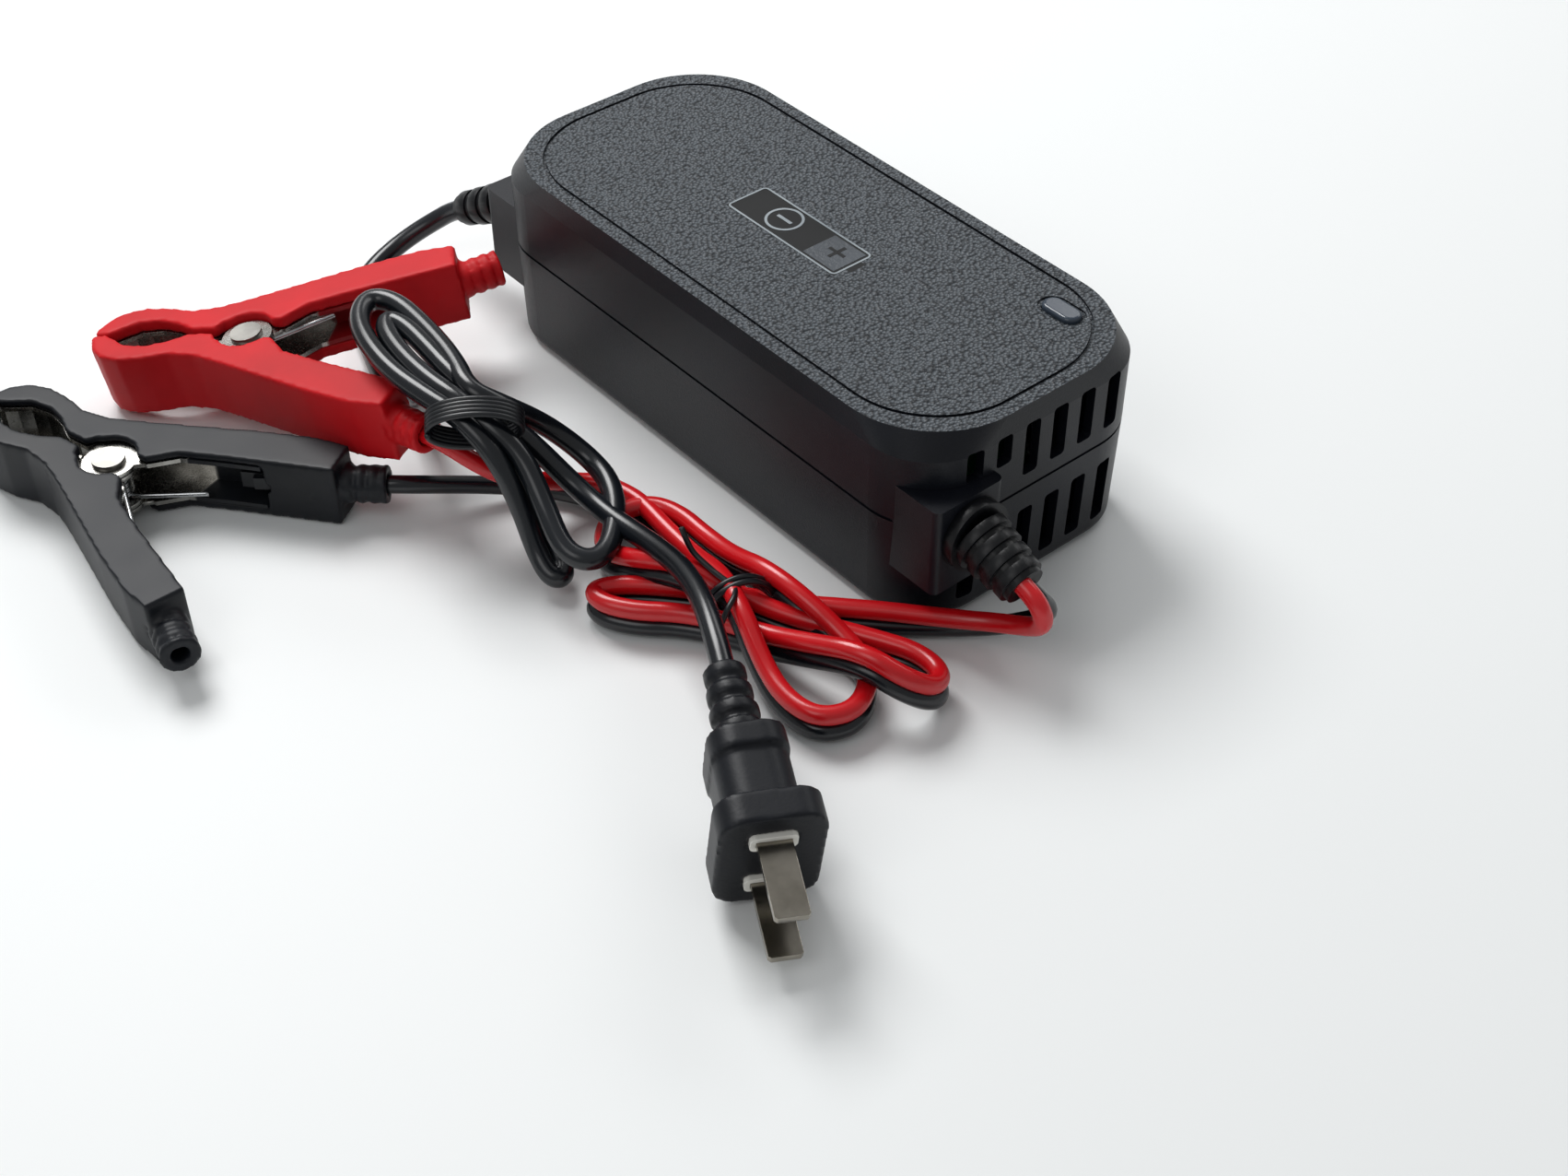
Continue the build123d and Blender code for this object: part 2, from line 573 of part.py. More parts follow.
def power_package(middle_x):
    """Three-legged power package standing against the inner face of a heat sink."""
    back_y = SINK_Y - SINK_THICKNESS / 2
    body_low = BOARD_TOP + 6.0
    with BuildPart() as package:
        with BuildSketch(Plane.XY.offset(body_low)):
            with Locations((middle_x, back_y - 2.2)):
                Rectangle(10.0, 4.4)
        extrude(amount=9.0)
        with BuildSketch(Plane.XY.offset(body_low + 9.0)):
            with Locations((middle_x, back_y - 0.65)):
                Rectangle(10.0, 1.3)
        extrude(amount=6.5)
        with BuildSketch(Plane.XY.offset(BOARD_TOP)):
            with Locations(*[(middle_x + step * 2.54, back_y - 2.4) for step in (-1, 0, 1)]):
                Rectangle(0.8, 0.5)
        extrude(amount=6.0)
    return package.part


save(heat_sink(-22.0, 34.0, 5), "primary_heat_sink")
save(power_package(-32.0), "switching_transistor")
save(heat_sink(22.0, 34.0, 5), "secondary_heat_sink")
save(power_package(12.0), "rectifier_diode")


def round_capacitors(places, radius, height):
    """Upright aluminium can capacitors with the crimp groove near the foot."""
    with BuildPart() as cans:
        with BuildSketch(Plane.XY.offset(BOARD_TOP)):
            with Locations(*places):
                Circle(radius)
        extrude(amount=height)
        with BuildSketch(Plane.XY.offset(BOARD_TOP + 2.0)):
            with Locations(*places):
                Circle(radius)
                Circle(radius - 0.4, mode=Mode.SUBTRACT)
        extrude(amount=1.0, mode=Mode.SUBTRACT)
    return cans.part


save(round_capacitors([(-30.0, -5.0)], 9.0, 28.0), "bulk_capacitor")
save(round_capacitors([(32.0, -2.0), (32.0, 10.0)], 5.0, 20.0), "output_capacitors")

with BuildPart() as common_mode_choke:
    with BuildSketch(Plane.XZ.offset(-12.0)):
        with Locations((-46.0, BOARD_TOP + 9.0)):
            Circle(9.0)
            Circle(4.0, mode=Mode.SUBTRACT)
    extrude(amount=8.0)
save(common_mode_choke.part, "common_mode_choke")

with BuildPart() as x_capacitor:
    with BuildSketch(Plane.XY.offset(BOARD_TOP)):
        with Locations((-48.0, -8.0)):
            RectangleRounded(7.0, 16.0, 0.6)
    extrude(amount=13.0)
save(x_capacitor.part, "x_capacitor")

with BuildPart() as fuse:
    with BuildSketch(Plane.YZ.offset(-40.0)):
        with Locations((-19.0, BOARD_TOP + 3.0)):
            Circle(2.6)
    extrude(amount=18.0)
    with BuildSketch(Plane.YZ.offset(-40.0)):
        with Locations((-19.0, BOARD_TOP + 3.0)):
            Circle(3.0)
    extrude(amount=4.0)
    with BuildSketch(Plane.YZ.offset(-26.0)):
        with Locations((-19.0, BOARD_TOP + 3.0)):
            Circle(3.0)
    extrude(amount=4.0)
save(fuse.part, "fuse")

with BuildPart() as bridge_rectifier:
    with BuildSketch(Plane.XY.offset(BOARD_TOP + 4.0)):
        with Locations((-26.0, 10.0)):
            Rectangle(20.0, 4.0)
    extrude(amount=14.0)
    with BuildSketch(Plane.XY.offset(BOARD_TOP)):
        with Locations(*[(-26.0 + step * 5.0, 10.0) for step in (-1.5, -0.5, 0.5, 1.5)]):
            Rectangle(1.0, 0.7)
    extrude(amount=4.0)
save(bridge_rectifier.part, "bridge_rectifier")

with BuildPart() as output_inductor:
    with BuildSketch(Plane.XZ.offset(10.0)):
        with Locations((44.0, BOARD_TOP + 8.0)):
            Circle(8.0)
            Circle(3.6, mode=Mode.SUBTRACT)
    extrude(amount=7.0)
save(output_inductor.part, "output_inductor")

with BuildPart() as status_led:
    with BuildSketch(Plane.XY.offset(BOARD_TOP)):
        with Locations((LENS_X - 2.0, LENS_Y)):
            Circle(2.9)
    extrude(amount=1.0)
    with BuildSketch(Plane.XY.offset(BOARD_TOP)):
        with Locations((LENS_X - 2.0, LENS_Y)):
            Circle(2.5)
    extrude(amount=8.5)
    fillet(status_led.faces().sort_by(Axis.Z)[-1].edges(), 2.0)
save(status_led.part, "status_led")


def small_chip(x, y, length, width, height, pins):
    """Small moulded chip on the board with two rows of flat legs."""
    with BuildPart() as chip:
        with BuildSketch(Plane.XY.offset(BOARD_TOP + 0.4)):
            with Locations((x, y)):
                Rectangle(length, width)
        extrude(amount=height)
        with BuildSketch(Plane.XY.offset(BOARD_TOP)):
            for side in (-1, 1):
                leg_y = y + side * (width / 2 + 0.2)
                first = x - (pins - 1) * 2.54 / 2
                with Locations(*[(first + step * 2.54, leg_y) for step in range(pins)]):
                    Rectangle(0.7, 1.4)
        extrude(amount=1.2)
    return chip.part


save(small_chip(20.0, -20.0, 10.0, 6.4, 3.4, 4), "controller_chip")
save(small_chip(4.0, -20.0, 5.0, 6.4, 3.6, 2), "optocoupler")


# ================================================================ cords
def corner_radii(points):
    """The largest natural arc at each inner corner: 0.45 of the shorter run over tan(half turn)."""
    radii = []
    for before, here, after in zip(points, points[1:], points[2:]):
        first = Vector(*here) - Vector(*before)
        second = Vector(*after) - Vector(*here)
        turn = first.get_angle(second)
        radii.append(0.45 * min(first.length, second.length) / tan(radians(turn / 2)))
    return radii


def cord_tube(name, points, diameter):
    """A round tube along straight runs joined by tangent arcs. Prints its length and tightest arc."""
    radii = corner_radii(points)
    with BuildPart() as tube:
        with BuildLine() as path:
            FilletPolyline(*points, radius=radii)
        start = Vector(*points[0])
        with BuildSketch(Plane(origin=start, z_dir=Vector(*points[1]) - start)):
            Circle(diameter / 2)
        sweep()
    length = sum(edge.length for edge in path.edges())
    expected = length * 3.14159265 * diameter ** 2 / 4
    print(f"{name}: length {length:.1f}, smallest arc {min(radii):.1f} ({min(radii) / diameter:.1f} d),",
          f"volume ratio {tube.part.volume / expected:.4f}")
    return tube.part


MAINS_LEAD_ROUTE = [
    (-101.3, -30.2, 11.6), (-103.7, -34.8, 8.8), (-104.8, -40.4, 6.2), (-104.0, -46.8, 4.1),
    (-100.8, -52.8, 2.9), (-95.2, -57.7, 2.5), (-87.4, -61.2, 2.5), (-78.8, -64.2, 2.5),
    (-70.0, -67.4, 2.5), (-61.4, -69.4, 2.6), (-53.4, -70.0, 3.6), (-46.4, -70.8, 7.0),
    (-40.7, -72.0, 12.2), (-35.8, -73.4, 17.8), (-31.0, -74.9, 23.4), (-25.8, -76.6, 28.0),
    (-20.2, -78.6, 30.8),
]
MAINS_TAIL_ROUTE = [
    (15.0, -64.0, 12.4), (22.0, -63.8, 13.2), (30.0, -64.2, 14.8), (38.6, -65.4, 16.8),
    (47.0, -68.0, 18.8), (55.4, -71.6, 20.2),
]
RED_LEAD_ROUTE = [
    (95.9, -22.9, 19.7), (96.2, -22.3, 16.8), (94.6, -21.5, 13.9), (91.8, -20.9, 11.4),
    (88.3, -20.9, 9.2), (84.0, -22.0, 7.5), (79.0, -25.2, 6.5), (73.0, -30.2, 6.35),
    (66.2, -36.0, 6.35), (60.2, -41.6, 6.35), (54.8, -46.8, 6.35),
]
BLACK_LEAD_ROUTE = [
    (92.8, -18.9, 17.0), (92.7, -17.4, 14.5), (91.4, -16.5, 11.7), (89.0, -16.3, 8.7),
    (85.8, -17.2, 6.0), (82.0, -19.6, 3.8), (77.6, -23.6, 2.6), (72.4, -29.2, 2.25),
    (66.2, -36.0, 2.25), (60.2, -41.6, 2.25), (54.8, -46.8, 2.25),
]
RED_END_ROUTE = [
    (9.6, -52.4, 6.35), (4.6, -53.0, 6.35), (-0.3, -54.5, 6.35), (-3.5, -56.9, 6.4), (-5.8, -60.3, 6.9),
    (-7.0, -64.2, 8.4), (-7.0, -70.2, 11.6), (-8.6, -75.1, 14.9), (-11.8, -78.9, 18.2),
    (-15.6, -81.2, 20.6),
]
BLACK_END_ROUTE = [
    (9.6, -52.8, 2.25), (3.6, -54.0, 2.25), (-3.8, -57.4, 2.25), (-11.4, -62.4, 2.4),
    (-17.2, -69.0, 3.2), (-21.6, -77.0, 5.0),
]

# ---------------------------------------------------------------- mains plug
def direction(azimuth, tilt):
    """Unit vector at an azimuth about Z and a tilt above the horizontal, in degrees."""
    return Vector(
        cos(radians(azimuth)) * cos(radians(tilt)),
        sin(radians(azimuth)) * cos(radians(tilt)),
        sin(radians(tilt)),
    )


plug_axis = direction(PLUG_AZIMUTH, PLUG_TILT)
plug_level = Vector(-sin(radians(PLUG_AZIMUTH)), cos(radians(PLUG_AZIMUTH)), 0)
plug_up = plug_axis.cross(plug_level)
plug_across = plug_level * cos(radians(PLUG_ROLL)) + plug_up * sin(radians(PLUG_ROLL))
# sketch x runs across the blades' width, sketch y from blade to blade, +Z out of the plug's face
plug_face = Plane(origin=PLUG_ORIGIN, x_dir=plug_across, z_dir=plug_axis)
blade_places = [(0, -BLADE_SPACING / 2), (0, BLADE_SPACING / 2)]
neck_start = PLUG_FACE_THICKNESS
grip_start = neck_start + PLUG_NECK_LENGTH
relief_start = grip_start + PLUG_GRIP_THICKNESS
plug_length = relief_start + PLUG_RELIEF_LENGTH

with BuildPart() as plug_blades:
    with BuildSketch(plug_face.offset(-BLADE_BURIED)):
        with Locations(*blade_places):
            Rectangle(BLADE_WIDTH, BLADE_THICKNESS)
    extrude(amount=BLADE_BURIED + BLADE_LENGTH)
    tip_edges = plug_blades.edges().filter_by(
        lambda edge: (edge.center() - Vector(*PLUG_ORIGIN)).dot(plug_axis) > BLADE_LENGTH - 0.01
        and abs(edge.length - BLADE_THICKNESS) < 0.01
    )
    chamfer(tip_edges, 0.5)
save(plug_blades.part, "plug_blades")

with BuildPart() as plug_insert:
    with BuildSketch(plug_face.offset(-PLUG_INSERT_DEPTH)):
        with Locations(*blade_places):
            RectangleRounded(
                BLADE_WIDTH + 2 * PLUG_INSERT_RIM, BLADE_THICKNESS + 2 * PLUG_INSERT_RIM, PLUG_INSERT_RIM
            )
    extrude(amount=PLUG_INSERT_DEPTH + PLUG_INSERT_STAND)
    with BuildSketch(plug_face.offset(-PLUG_INSERT_DEPTH)):
        Rectangle(BLADE_WIDTH, BLADE_SPACING)
    extrude(amount=PLUG_INSERT_DEPTH / 2)
    with BuildSketch(plug_face.offset(-PLUG_INSERT_DEPTH)):
        with Locations(*blade_places):
            Rectangle(BLADE_WIDTH, BLADE_THICKNESS)
    extrude(amount=PLUG_INSERT_DEPTH + PLUG_INSERT_STAND, mode=Mode.SUBTRACT)
save(plug_insert.part, "plug_insert")

with BuildPart() as plug_body:
    with BuildSketch(plug_face.offset(-neck_start)):
        RectangleRounded(PLUG_FACE_WIDTH, PLUG_FACE_HEIGHT, PLUG_FACE_CORNER)
    extrude(amount=PLUG_FACE_THICKNESS)
    with BuildSketch(plug_face.offset(-grip_start)):
        RectangleRounded(PLUG_NECK_WIDTH, PLUG_NECK_HEIGHT, PLUG_FACE_CORNER)
    extrude(amount=PLUG_NECK_LENGTH)
    with BuildSketch(plug_face.offset(-relief_start)):
        RectangleRounded(PLUG_GRIP_WIDTH, PLUG_GRIP_HEIGHT, PLUG_FACE_CORNER)
    extrude(amount=PLUG_GRIP_THICKNESS)
    rib_pitch = PLUG_RELIEF_LENGTH / RELIEF_RIBS
    for index in range(RELIEF_RIBS):
        taper = (PLUG_RELIEF_TIP - PLUG_RELIEF_ROOT) * (index + 0.5) / RELIEF_RIBS
        rib_radius = (PLUG_RELIEF_ROOT + taper) / 2
        rib_face = plug_face.offset(-relief_start - index * rib_pitch)
        with BuildSketch(rib_face):
            Circle(rib_radius * 0.82)
        extrude(amount=-rib_pitch * 0.4)
        with BuildSketch(rib_face.offset(-rib_pitch * 0.4)):
            Circle(rib_radius)
        extrude(amount=-rib_pitch * 0.6)
    add(plug_insert.part, mode=Mode.SUBTRACT)
    add(plug_blades.part, mode=Mode.SUBTRACT)
save(plug_body.part, "plug_body")


def behind_plug(distance):
    """A point on the plug's axis, this far behind its face."""
    return tuple(Vector(*PLUG_ORIGIN) - plug_axis * distance)


# ---------------------------------------------------------------- battery clips
def clip_plane(place, azimuth, tilt):
    """A clip's own plane: sketch x from nose to handle, sketch y to its left, +Z its thickness."""
    along = direction(azimuth, tilt)
    left = Vector(-sin(radians(azimuth)), cos(radians(azimuth)), 0)
    return Plane(origin=place, x_dir=along, z_dir=along.cross(left))


def mirrored(points, side):
    """Arm points for the arm on the +y side (side 1) or the -y side (side -1)."""
    return [(x, side * y) for x, y in points]


def arm_band(side, inset):
    """A closed face with the arm's outer edge, set in, and open far past the clip's middle."""
    with BuildSketch() as band:
        with BuildLine():
            Polyline(*mirrored(ARM_OUTER + [(40.5, -12.0), (-36.0, -12.0)], side), close=True)
        make_face()
        if inset > 0:
            offset(amount=-inset, kind=Kind.INTERSECTION)
    return band.sketch


def arm_face(side):
    """The whole outline of one arm's boot, without its tail."""
    nose = [(-33.0, JAW_GAP), (-36.0, JAW_GAP)]
    middle = [(7.5, 3.4), (-6.0, 3.4), (-7.2, 0.9)]
    with BuildSketch() as outline:
        with BuildLine():
            Polyline(
                *mirrored(ARM_OUTER + ARM_HANDLE_END + ARM_INNER + middle + ARM_JAW + nose, side), close=True
            )
        make_face()
    return outline.sketch


def tail_plane(base_plane, side, distance):
    """Plane across an arm's tail, this far along it from its root."""
    angle = radians(TAIL_ANGLE)
    x = TAIL_BASE[0] + distance * cos(angle)
    y = side * (TAIL_BASE[1] + distance * sin(angle))
    axis = base_plane.x_dir * cos(angle) + base_plane.y_dir * (side * sin(angle))
    origin = base_plane.from_local_coords((x, y, CLIP_HEIGHT / 2))
    return Plane(origin=origin, x_dir=base_plane.z_dir, z_dir=axis)


def clip_boot(base, side, sheet_low, hole_radius):
    """Soft boot over one arm: walls round a channel-shaped pocket, a rivet window and a ribbed tail."""
    pocket_low = sheet_low - SHEET_CLEARANCE
    with BuildPart() as boot:
        with BuildSketch(base):
            add(arm_face(side))
        extrude(amount=CLIP_HEIGHT)
        with BuildSketch(tail_plane(base, side, -4.0)):
            Circle(TAIL_RADIUS)
        extrude(amount=4.0 + TAIL_LENGTH)
        for index in range(TAIL_RIBS):
            with BuildSketch(tail_plane(base, side, TAIL_LENGTH - 1.2 - index * TAIL_RIB_PITCH)):
                Circle(TAIL_RADIUS + 0.1)
                Circle(TAIL_RADIUS - TAIL_RIB_DEPTH, mode=Mode.SUBTRACT)
            extrude(amount=-TAIL_RIB_PITCH * 0.4, mode=Mode.SUBTRACT)
        with BuildSketch(base.offset(pocket_low)):
            add(arm_band(side, BOOT_WALL))
            with Locations((CHANNEL_END + 30.0 + SHEET_CLEARANCE, side * 20.0)):
                Rectangle(60.0, 80.0, mode=Mode.SUBTRACT)
        extrude(amount=CLIP_HEIGHT - 2 * pocket_low, mode=Mode.SUBTRACT)
        with BuildSketch(base):
            Circle(EAR_RADIUS + EAR_CLEARANCE)
        extrude(amount=CLIP_HEIGHT, mode=Mode.SUBTRACT)
        with BuildSketch(tail_plane(base, side, TAIL_LENGTH)):
            Circle(hole_radius)
        extrude(amount=-(TAIL_LENGTH + 14.0), mode=Mode.SUBTRACT)
    return boot.part


def clip_jaw(base, side, sheet_low, rivet_hole):
    """Folded sheet jaw: two cheeks with ears round the rivet, joined by a web along the arm's outside."""
    with BuildSketch() as cheek:
        add(arm_face(side))
        add(arm_band(side, BOOT_WALL + SHEET_CLEARANCE), mode=Mode.INTERSECT)
        with Locations((CHANNEL_END + 30.0, side * 20.0)):
            Rectangle(60.0, 80.0, mode=Mode.SUBTRACT)
        with BuildLine():
            Polyline(*mirrored([(-6.5, 1.6), (-6.5, 7.4), (12.0, 16.0), (12.0, 8.6), (5.0, 1.6)], side), close=True)
        make_face()
        Circle(EAR_RADIUS)
        with Locations(*[(-33.2 + (index + 0.5) * TOOTH_PITCH, side * JAW_GAP) for index in range(TOOTH_COUNT)]):
            Circle(TOOTH_DEPTH, mode=Mode.SUBTRACT)
        Circle(rivet_hole, mode=Mode.SUBTRACT)
    with BuildSketch() as web:
        add(arm_band(side, BOOT_WALL + SHEET_CLEARANCE))
        add(arm_band(side, BOOT_WALL + SHEET_CLEARANCE + SHEET), mode=Mode.SUBTRACT)
        add(cheek.sketch, mode=Mode.INTERSECT)
    with BuildPart() as jaw:
        with BuildSketch(base.offset(sheet_low)):
            add(cheek.sketch)
        extrude(amount=SHEET)
        with BuildSketch(base.offset(CLIP_HEIGHT - sheet_low - SHEET)):
            add(cheek.sketch)
        extrude(amount=SHEET)
        with BuildSketch(base.offset(sheet_low)):
            add(web.sketch)
        extrude(amount=CLIP_HEIGHT - 2 * sheet_low)
    return jaw.part


def clip_rivet(base):
    """Tubular rivet with a head outside each cheek of the wired jaw."""
    with BuildPart() as rivet:
        with BuildSketch(base.offset(WIRED_SHEET_LOW)):
            Circle(RIVET_RADIUS)
        extrude(amount=CLIP_HEIGHT - 2 * WIRED_SHEET_LOW)
        for low in (WIRED_SHEET_LOW - RIVET_HEAD_HEIGHT, CLIP_HEIGHT - WIRED_SHEET_LOW):
            with BuildSketch(base.offset(low)):
                Circle(RIVET_HEAD_RADIUS)
            extrude(amount=RIVET_HEAD_HEIGHT)
    return rivet.part


def clip_spring(base):
    """Close-wound torsion spring round the rivet, one straight leg lying inside each arm."""
    low = (CLIP_HEIGHT - (SPRING_TURNS - 1) * SPRING_WIRE) / 2
    angle = radians(SPRING_LEG_ANGLE)
    with BuildPart() as coil:
        with BuildSketch(Plane.XZ):
            with Locations(*[(SPRING_RADIUS, low + turn * SPRING_WIRE) for turn in range(SPRING_TURNS)]):
                Circle(SPRING_WIRE / 2 + SPRING_TURN_OVERLAP)
        revolve(axis=Axis.Z)
        for side, height in ((-1, low), (1, CLIP_HEIGHT - low)):
            lean = Vector(cos(angle), side * sin(angle), 0)
            with BuildSketch(Plane(origin=(SPRING_RADIUS, 0, height), z_dir=lean)):
                Circle(SPRING_WIRE / 2)
            extrude(amount=SPRING_LEG)
    return coil.part.moved(base.location)


def crimp_ferrule(base, side):
    """Barrel in the tail's bore, crimped on the wire, with a tang that runs to the channel's web."""
    with BuildPart() as ferrule:
        with BuildSketch(tail_plane(base, side, TAIL_LENGTH - WIRE_INSERTION)):
            Circle(CRIMP_RADIUS)
        extrude(amount=-CRIMP_LENGTH)
        with BuildSketch(tail_plane(base, side, TAIL_LENGTH - WIRE_INSERTION - CRIMP_LENGTH)):
            Rectangle(3.0, 1.6)
        extrude(amount=-(TANG_LENGTH))
        with BuildSketch(base.offset(CLIP_HEIGHT / 2 - 2.0)):
            with BuildLine():
                Polyline(*mirrored([(22.0, 15.2), (26.4, 17.2), (26.4, 23.0), (22.0, 22.0)], side), close=True)
            make_face()
            add(arm_band(side, BOOT_WALL + SHEET_CLEARANCE + SHEET), mode=Mode.INTERSECT)
        extrude(amount=4.0)
    return ferrule.part


red_base = clip_plane(RED_CLIP_PLACE, RED_CLIP_AZIMUTH, RED_CLIP_TILT)
black_base = clip_plane(BLACK_CLIP_PLACE, BLACK_CLIP_AZIMUTH, 0.0)
for colour, base, wired in (("red", red_base, RED_WIRED_SIDE), ("black", black_base, BLACK_WIRED_SIDE)):
    save(clip_boot(base, wired, WIRED_SHEET_LOW, TAIL_HOLE_WIRED), f"{colour}_wired_boot")
    save(clip_boot(base, -wired, FREE_SHEET_LOW, TAIL_HOLE_FREE), f"{colour}_free_boot")
    save(clip_jaw(base, wired, WIRED_SHEET_LOW, RIVET_RADIUS), f"{colour}_wired_jaw")
    save(clip_jaw(base, -wired, FREE_SHEET_LOW, RIVET_RADIUS + RIVET_RUNNING), f"{colour}_free_jaw")
    save(clip_rivet(base), f"{colour}_clip_rivet")
    save(clip_spring(base), f"{colour}_clip_spring")
    save(crimp_ferrule(base, wired), f"{colour}_crimp_ferrule")
    print(colour, "clip rivet axis", base.from_local_coords((0, 0, 0)), base.z_dir)


def in_tail(base, side, distance):
    """A point on an arm's tail axis, this far along it from its root."""
    return tuple(tail_plane(base, side, distance).origin)


MAINS_LEAD = [tuple(ac_exit), tuple(ac_exit + ac_direction * 4.5)] + MAINS_LEAD_ROUTE
MAINS_TAIL = MAINS_TAIL_ROUTE + [behind_plug(plug_length + 7.0), behind_plug(plug_length)]
# the pair leaves its relief turned a little about its own axis, red uppermost
upward = Vector(-dc_direction.Z, 0, dc_direction.X)
pair_lean = radians(PAIR_TWIST_AT_RELIEF)
pair_offset = (upward * cos(pair_lean) - Vector(0, 1, 0) * sin(pair_lean)) * (WIRE_STACK / 2)
red_exit = dc_exit + pair_offset
black_exit = dc_exit - pair_offset
RED_LEAD = [tuple(red_exit), tuple(red_exit + dc_direction * 3.0)] + RED_LEAD_ROUTE
BLACK_LEAD = [tuple(black_exit), tuple(black_exit + dc_direction * 2.4)] + BLACK_LEAD_ROUTE
RED_END = RED_END_ROUTE + [
    in_tail(red_base, RED_WIRED_SIDE, TAIL_LENGTH + 2.5),
    in_tail(red_base, RED_WIRED_SIDE, TAIL_LENGTH - WIRE_INSERTION),
]
BLACK_END = BLACK_END_ROUTE + [
    in_tail(black_base, BLACK_WIRED_SIDE, TAIL_LENGTH + 4.5),
    in_tail(black_base, BLACK_WIRED_SIDE, TAIL_LENGTH - WIRE_INSERTION),
]
save(cord_tube("ac_cord_lead", MAINS_LEAD, MAINS_DIAMETER), "ac_cord_lead")
save(cord_tube("ac_cord_tail", MAINS_TAIL, MAINS_DIAMETER), "ac_cord_tail")
save(cord_tube("red_wire_lead", RED_LEAD, WIRE_DIAMETER), "red_wire_lead")
save(cord_tube("black_wire_lead", BLACK_LEAD, WIRE_DIAMETER), "black_wire_lead")
save(cord_tube("red_wire_end", RED_END, WIRE_DIAMETER), "red_wire_end")
save(cord_tube("black_wire_end", BLACK_END, WIRE_DIAMETER), "black_wire_end")

# ---------------------------------------------------------------- hanks and their ties
MAINS_TIE_PLACE = (-10.4, -78.6, 29.2)
MAINS_TIE_TURN = 55.0
MAINS_TIE_WIDTH = 6.5
MAINS_BUNDLE_WIDTH = 19.0
MAINS_BUNDLE_HEIGHT = 8.6
TIE_THICKNESS = 0.8
OUTPUT_TIE_PLACE = (48.0, -58.0, 4.6)
OUTPUT_TIE_TURN = -16.0
OUTPUT_TIE_WIDTH = 6.0
OUTPUT_BUNDLE_WIDTH = 11.0
OUTPUT_BUNDLE_HEIGHT = 7.6

# the upper lobe, then the profiles of the sloping parts, then the flat right-hand loops
MAINS_LEFT_LOBE = [(-60, -72.7), (-55.5, -78.7), (-46.5, -83.7), (-34.5, -85.7), (-21.5, -84.7), (-13.5, -85),
                   (-10.6, -82.6), (-19.6, -76.2), (-21.5, -73.2), (-27.5, -69.7), (-39.5, -68), (-52.5, -67.2)]
MAINS_SLOPE = [(-18, 25.6), (0, 12.6), (2, 16.2), (-8, 29), (-15, 31.5)]
MAINS_RIGHT_LOOP = [(-1, -56), (6, -55.5), (16, -61.5), (23, -69), (24.5, -76), (19, -79), (9, -77), (0, -75)]
MAINS_LONG_LOOP = [(-7, 26), (4, 9.5), (10, 1.8), (16.5, 1.4), (17.3, 5.6), (10, 8.6), (1, 19.0), (-6, 31)]
OUTPUT_OUTLINE = [(52, -46.5), (60, -43.5), (70, -39.5), (80, -36), (88, -36), (92, -41), (91, -48), (86, -57),
                  (85.5, -65), (80, -69.5), (68, -68.5), (56, -66), (46, -65), (36, -72), (30, -79),
                  (22.5, -79), (21, -73), (12, -68.5), (5.5, -61), (5, -51), (9, -46), (17, -44),
                  (28, -45.5), (42, -47)]


def tie_plane(place, turn):
    """Plane across a bundle: sketch x level across it, sketch y up, +Z along the bundle."""
    return Plane(
        origin=place, x_dir=(sin(radians(turn)), -cos(radians(turn)), 0), z_dir=direction(turn, 0)
    )


def bundle_tie(place, turn, width, bundle_width, bundle_height):
    """Flat strap wrapped once round a bundle."""
    middle = tie_plane(place, turn)
    with BuildPart() as strap:
        with BuildSketch(middle.offset(-width / 2)):
            RectangleRounded(bundle_width + 2 * TIE_THICKNESS, bundle_height + 2 * TIE_THICKNESS, 2.8)
            RectangleRounded(bundle_width, bundle_height, 2.0, mode=Mode.SUBTRACT)
        extrude(amount=width)
    return strap.part


def flat_outline(points, low, high):
    """A flat slab with its outline in plan, between two heights."""
    with BuildPart() as slab:
        with BuildSketch(Plane.XY.offset(low)):
            with BuildLine():
                Polyline(*points, close=True)
            make_face()
        extrude(amount=high - low)
    return slab.part


def side_outline(points, near_y, far_y):
    """A slab with its outline in the XZ plane, between two y values."""
    with BuildPart() as slab:
        with BuildSketch(Plane.XZ.offset(-far_y)):
            with BuildLine():
                Polyline(*points, close=True)
            make_face()
        extrude(amount=far_y - near_y)
    return slab.part


mains_strap = bundle_tie(
    MAINS_TIE_PLACE, MAINS_TIE_TURN, MAINS_TIE_WIDTH, MAINS_BUNDLE_WIDTH, MAINS_BUNDLE_HEIGHT
)
output_strap = bundle_tie(
    OUTPUT_TIE_PLACE, OUTPUT_TIE_TURN, OUTPUT_TIE_WIDTH, OUTPUT_BUNDLE_WIDTH, OUTPUT_BUNDLE_HEIGHT
)
with BuildPart() as ac_cord_hank:
    add(flat_outline(MAINS_LEFT_LOBE, 29.2, 34.2))
    with BuildSketch(tie_plane(MAINS_TIE_PLACE, MAINS_TIE_TURN).offset(-6.0)):
        RectangleRounded(MAINS_BUNDLE_WIDTH, MAINS_BUNDLE_HEIGHT, 2.0)
    extrude(amount=13.0)
    add(side_outline(MAINS_SLOPE, -75.0, -56.5))
    add(side_outline(MAINS_LONG_LOOP, -81.5, -72.5))
    add(flat_outline(MAINS_RIGHT_LOOP, 9.6, 14.8))
    add(mains_strap, mode=Mode.SUBTRACT)
save(ac_cord_hank.part, "ac_cord_hank")
save(mains_strap, "ac_cord_tie")

with BuildPart() as dc_cord_hank:
    add(flat_outline(OUTPUT_OUTLINE, 0.2, 8.6))
    add(output_strap, mode=Mode.SUBTRACT)
save(dc_cord_hank.part, "dc_cord_hank")

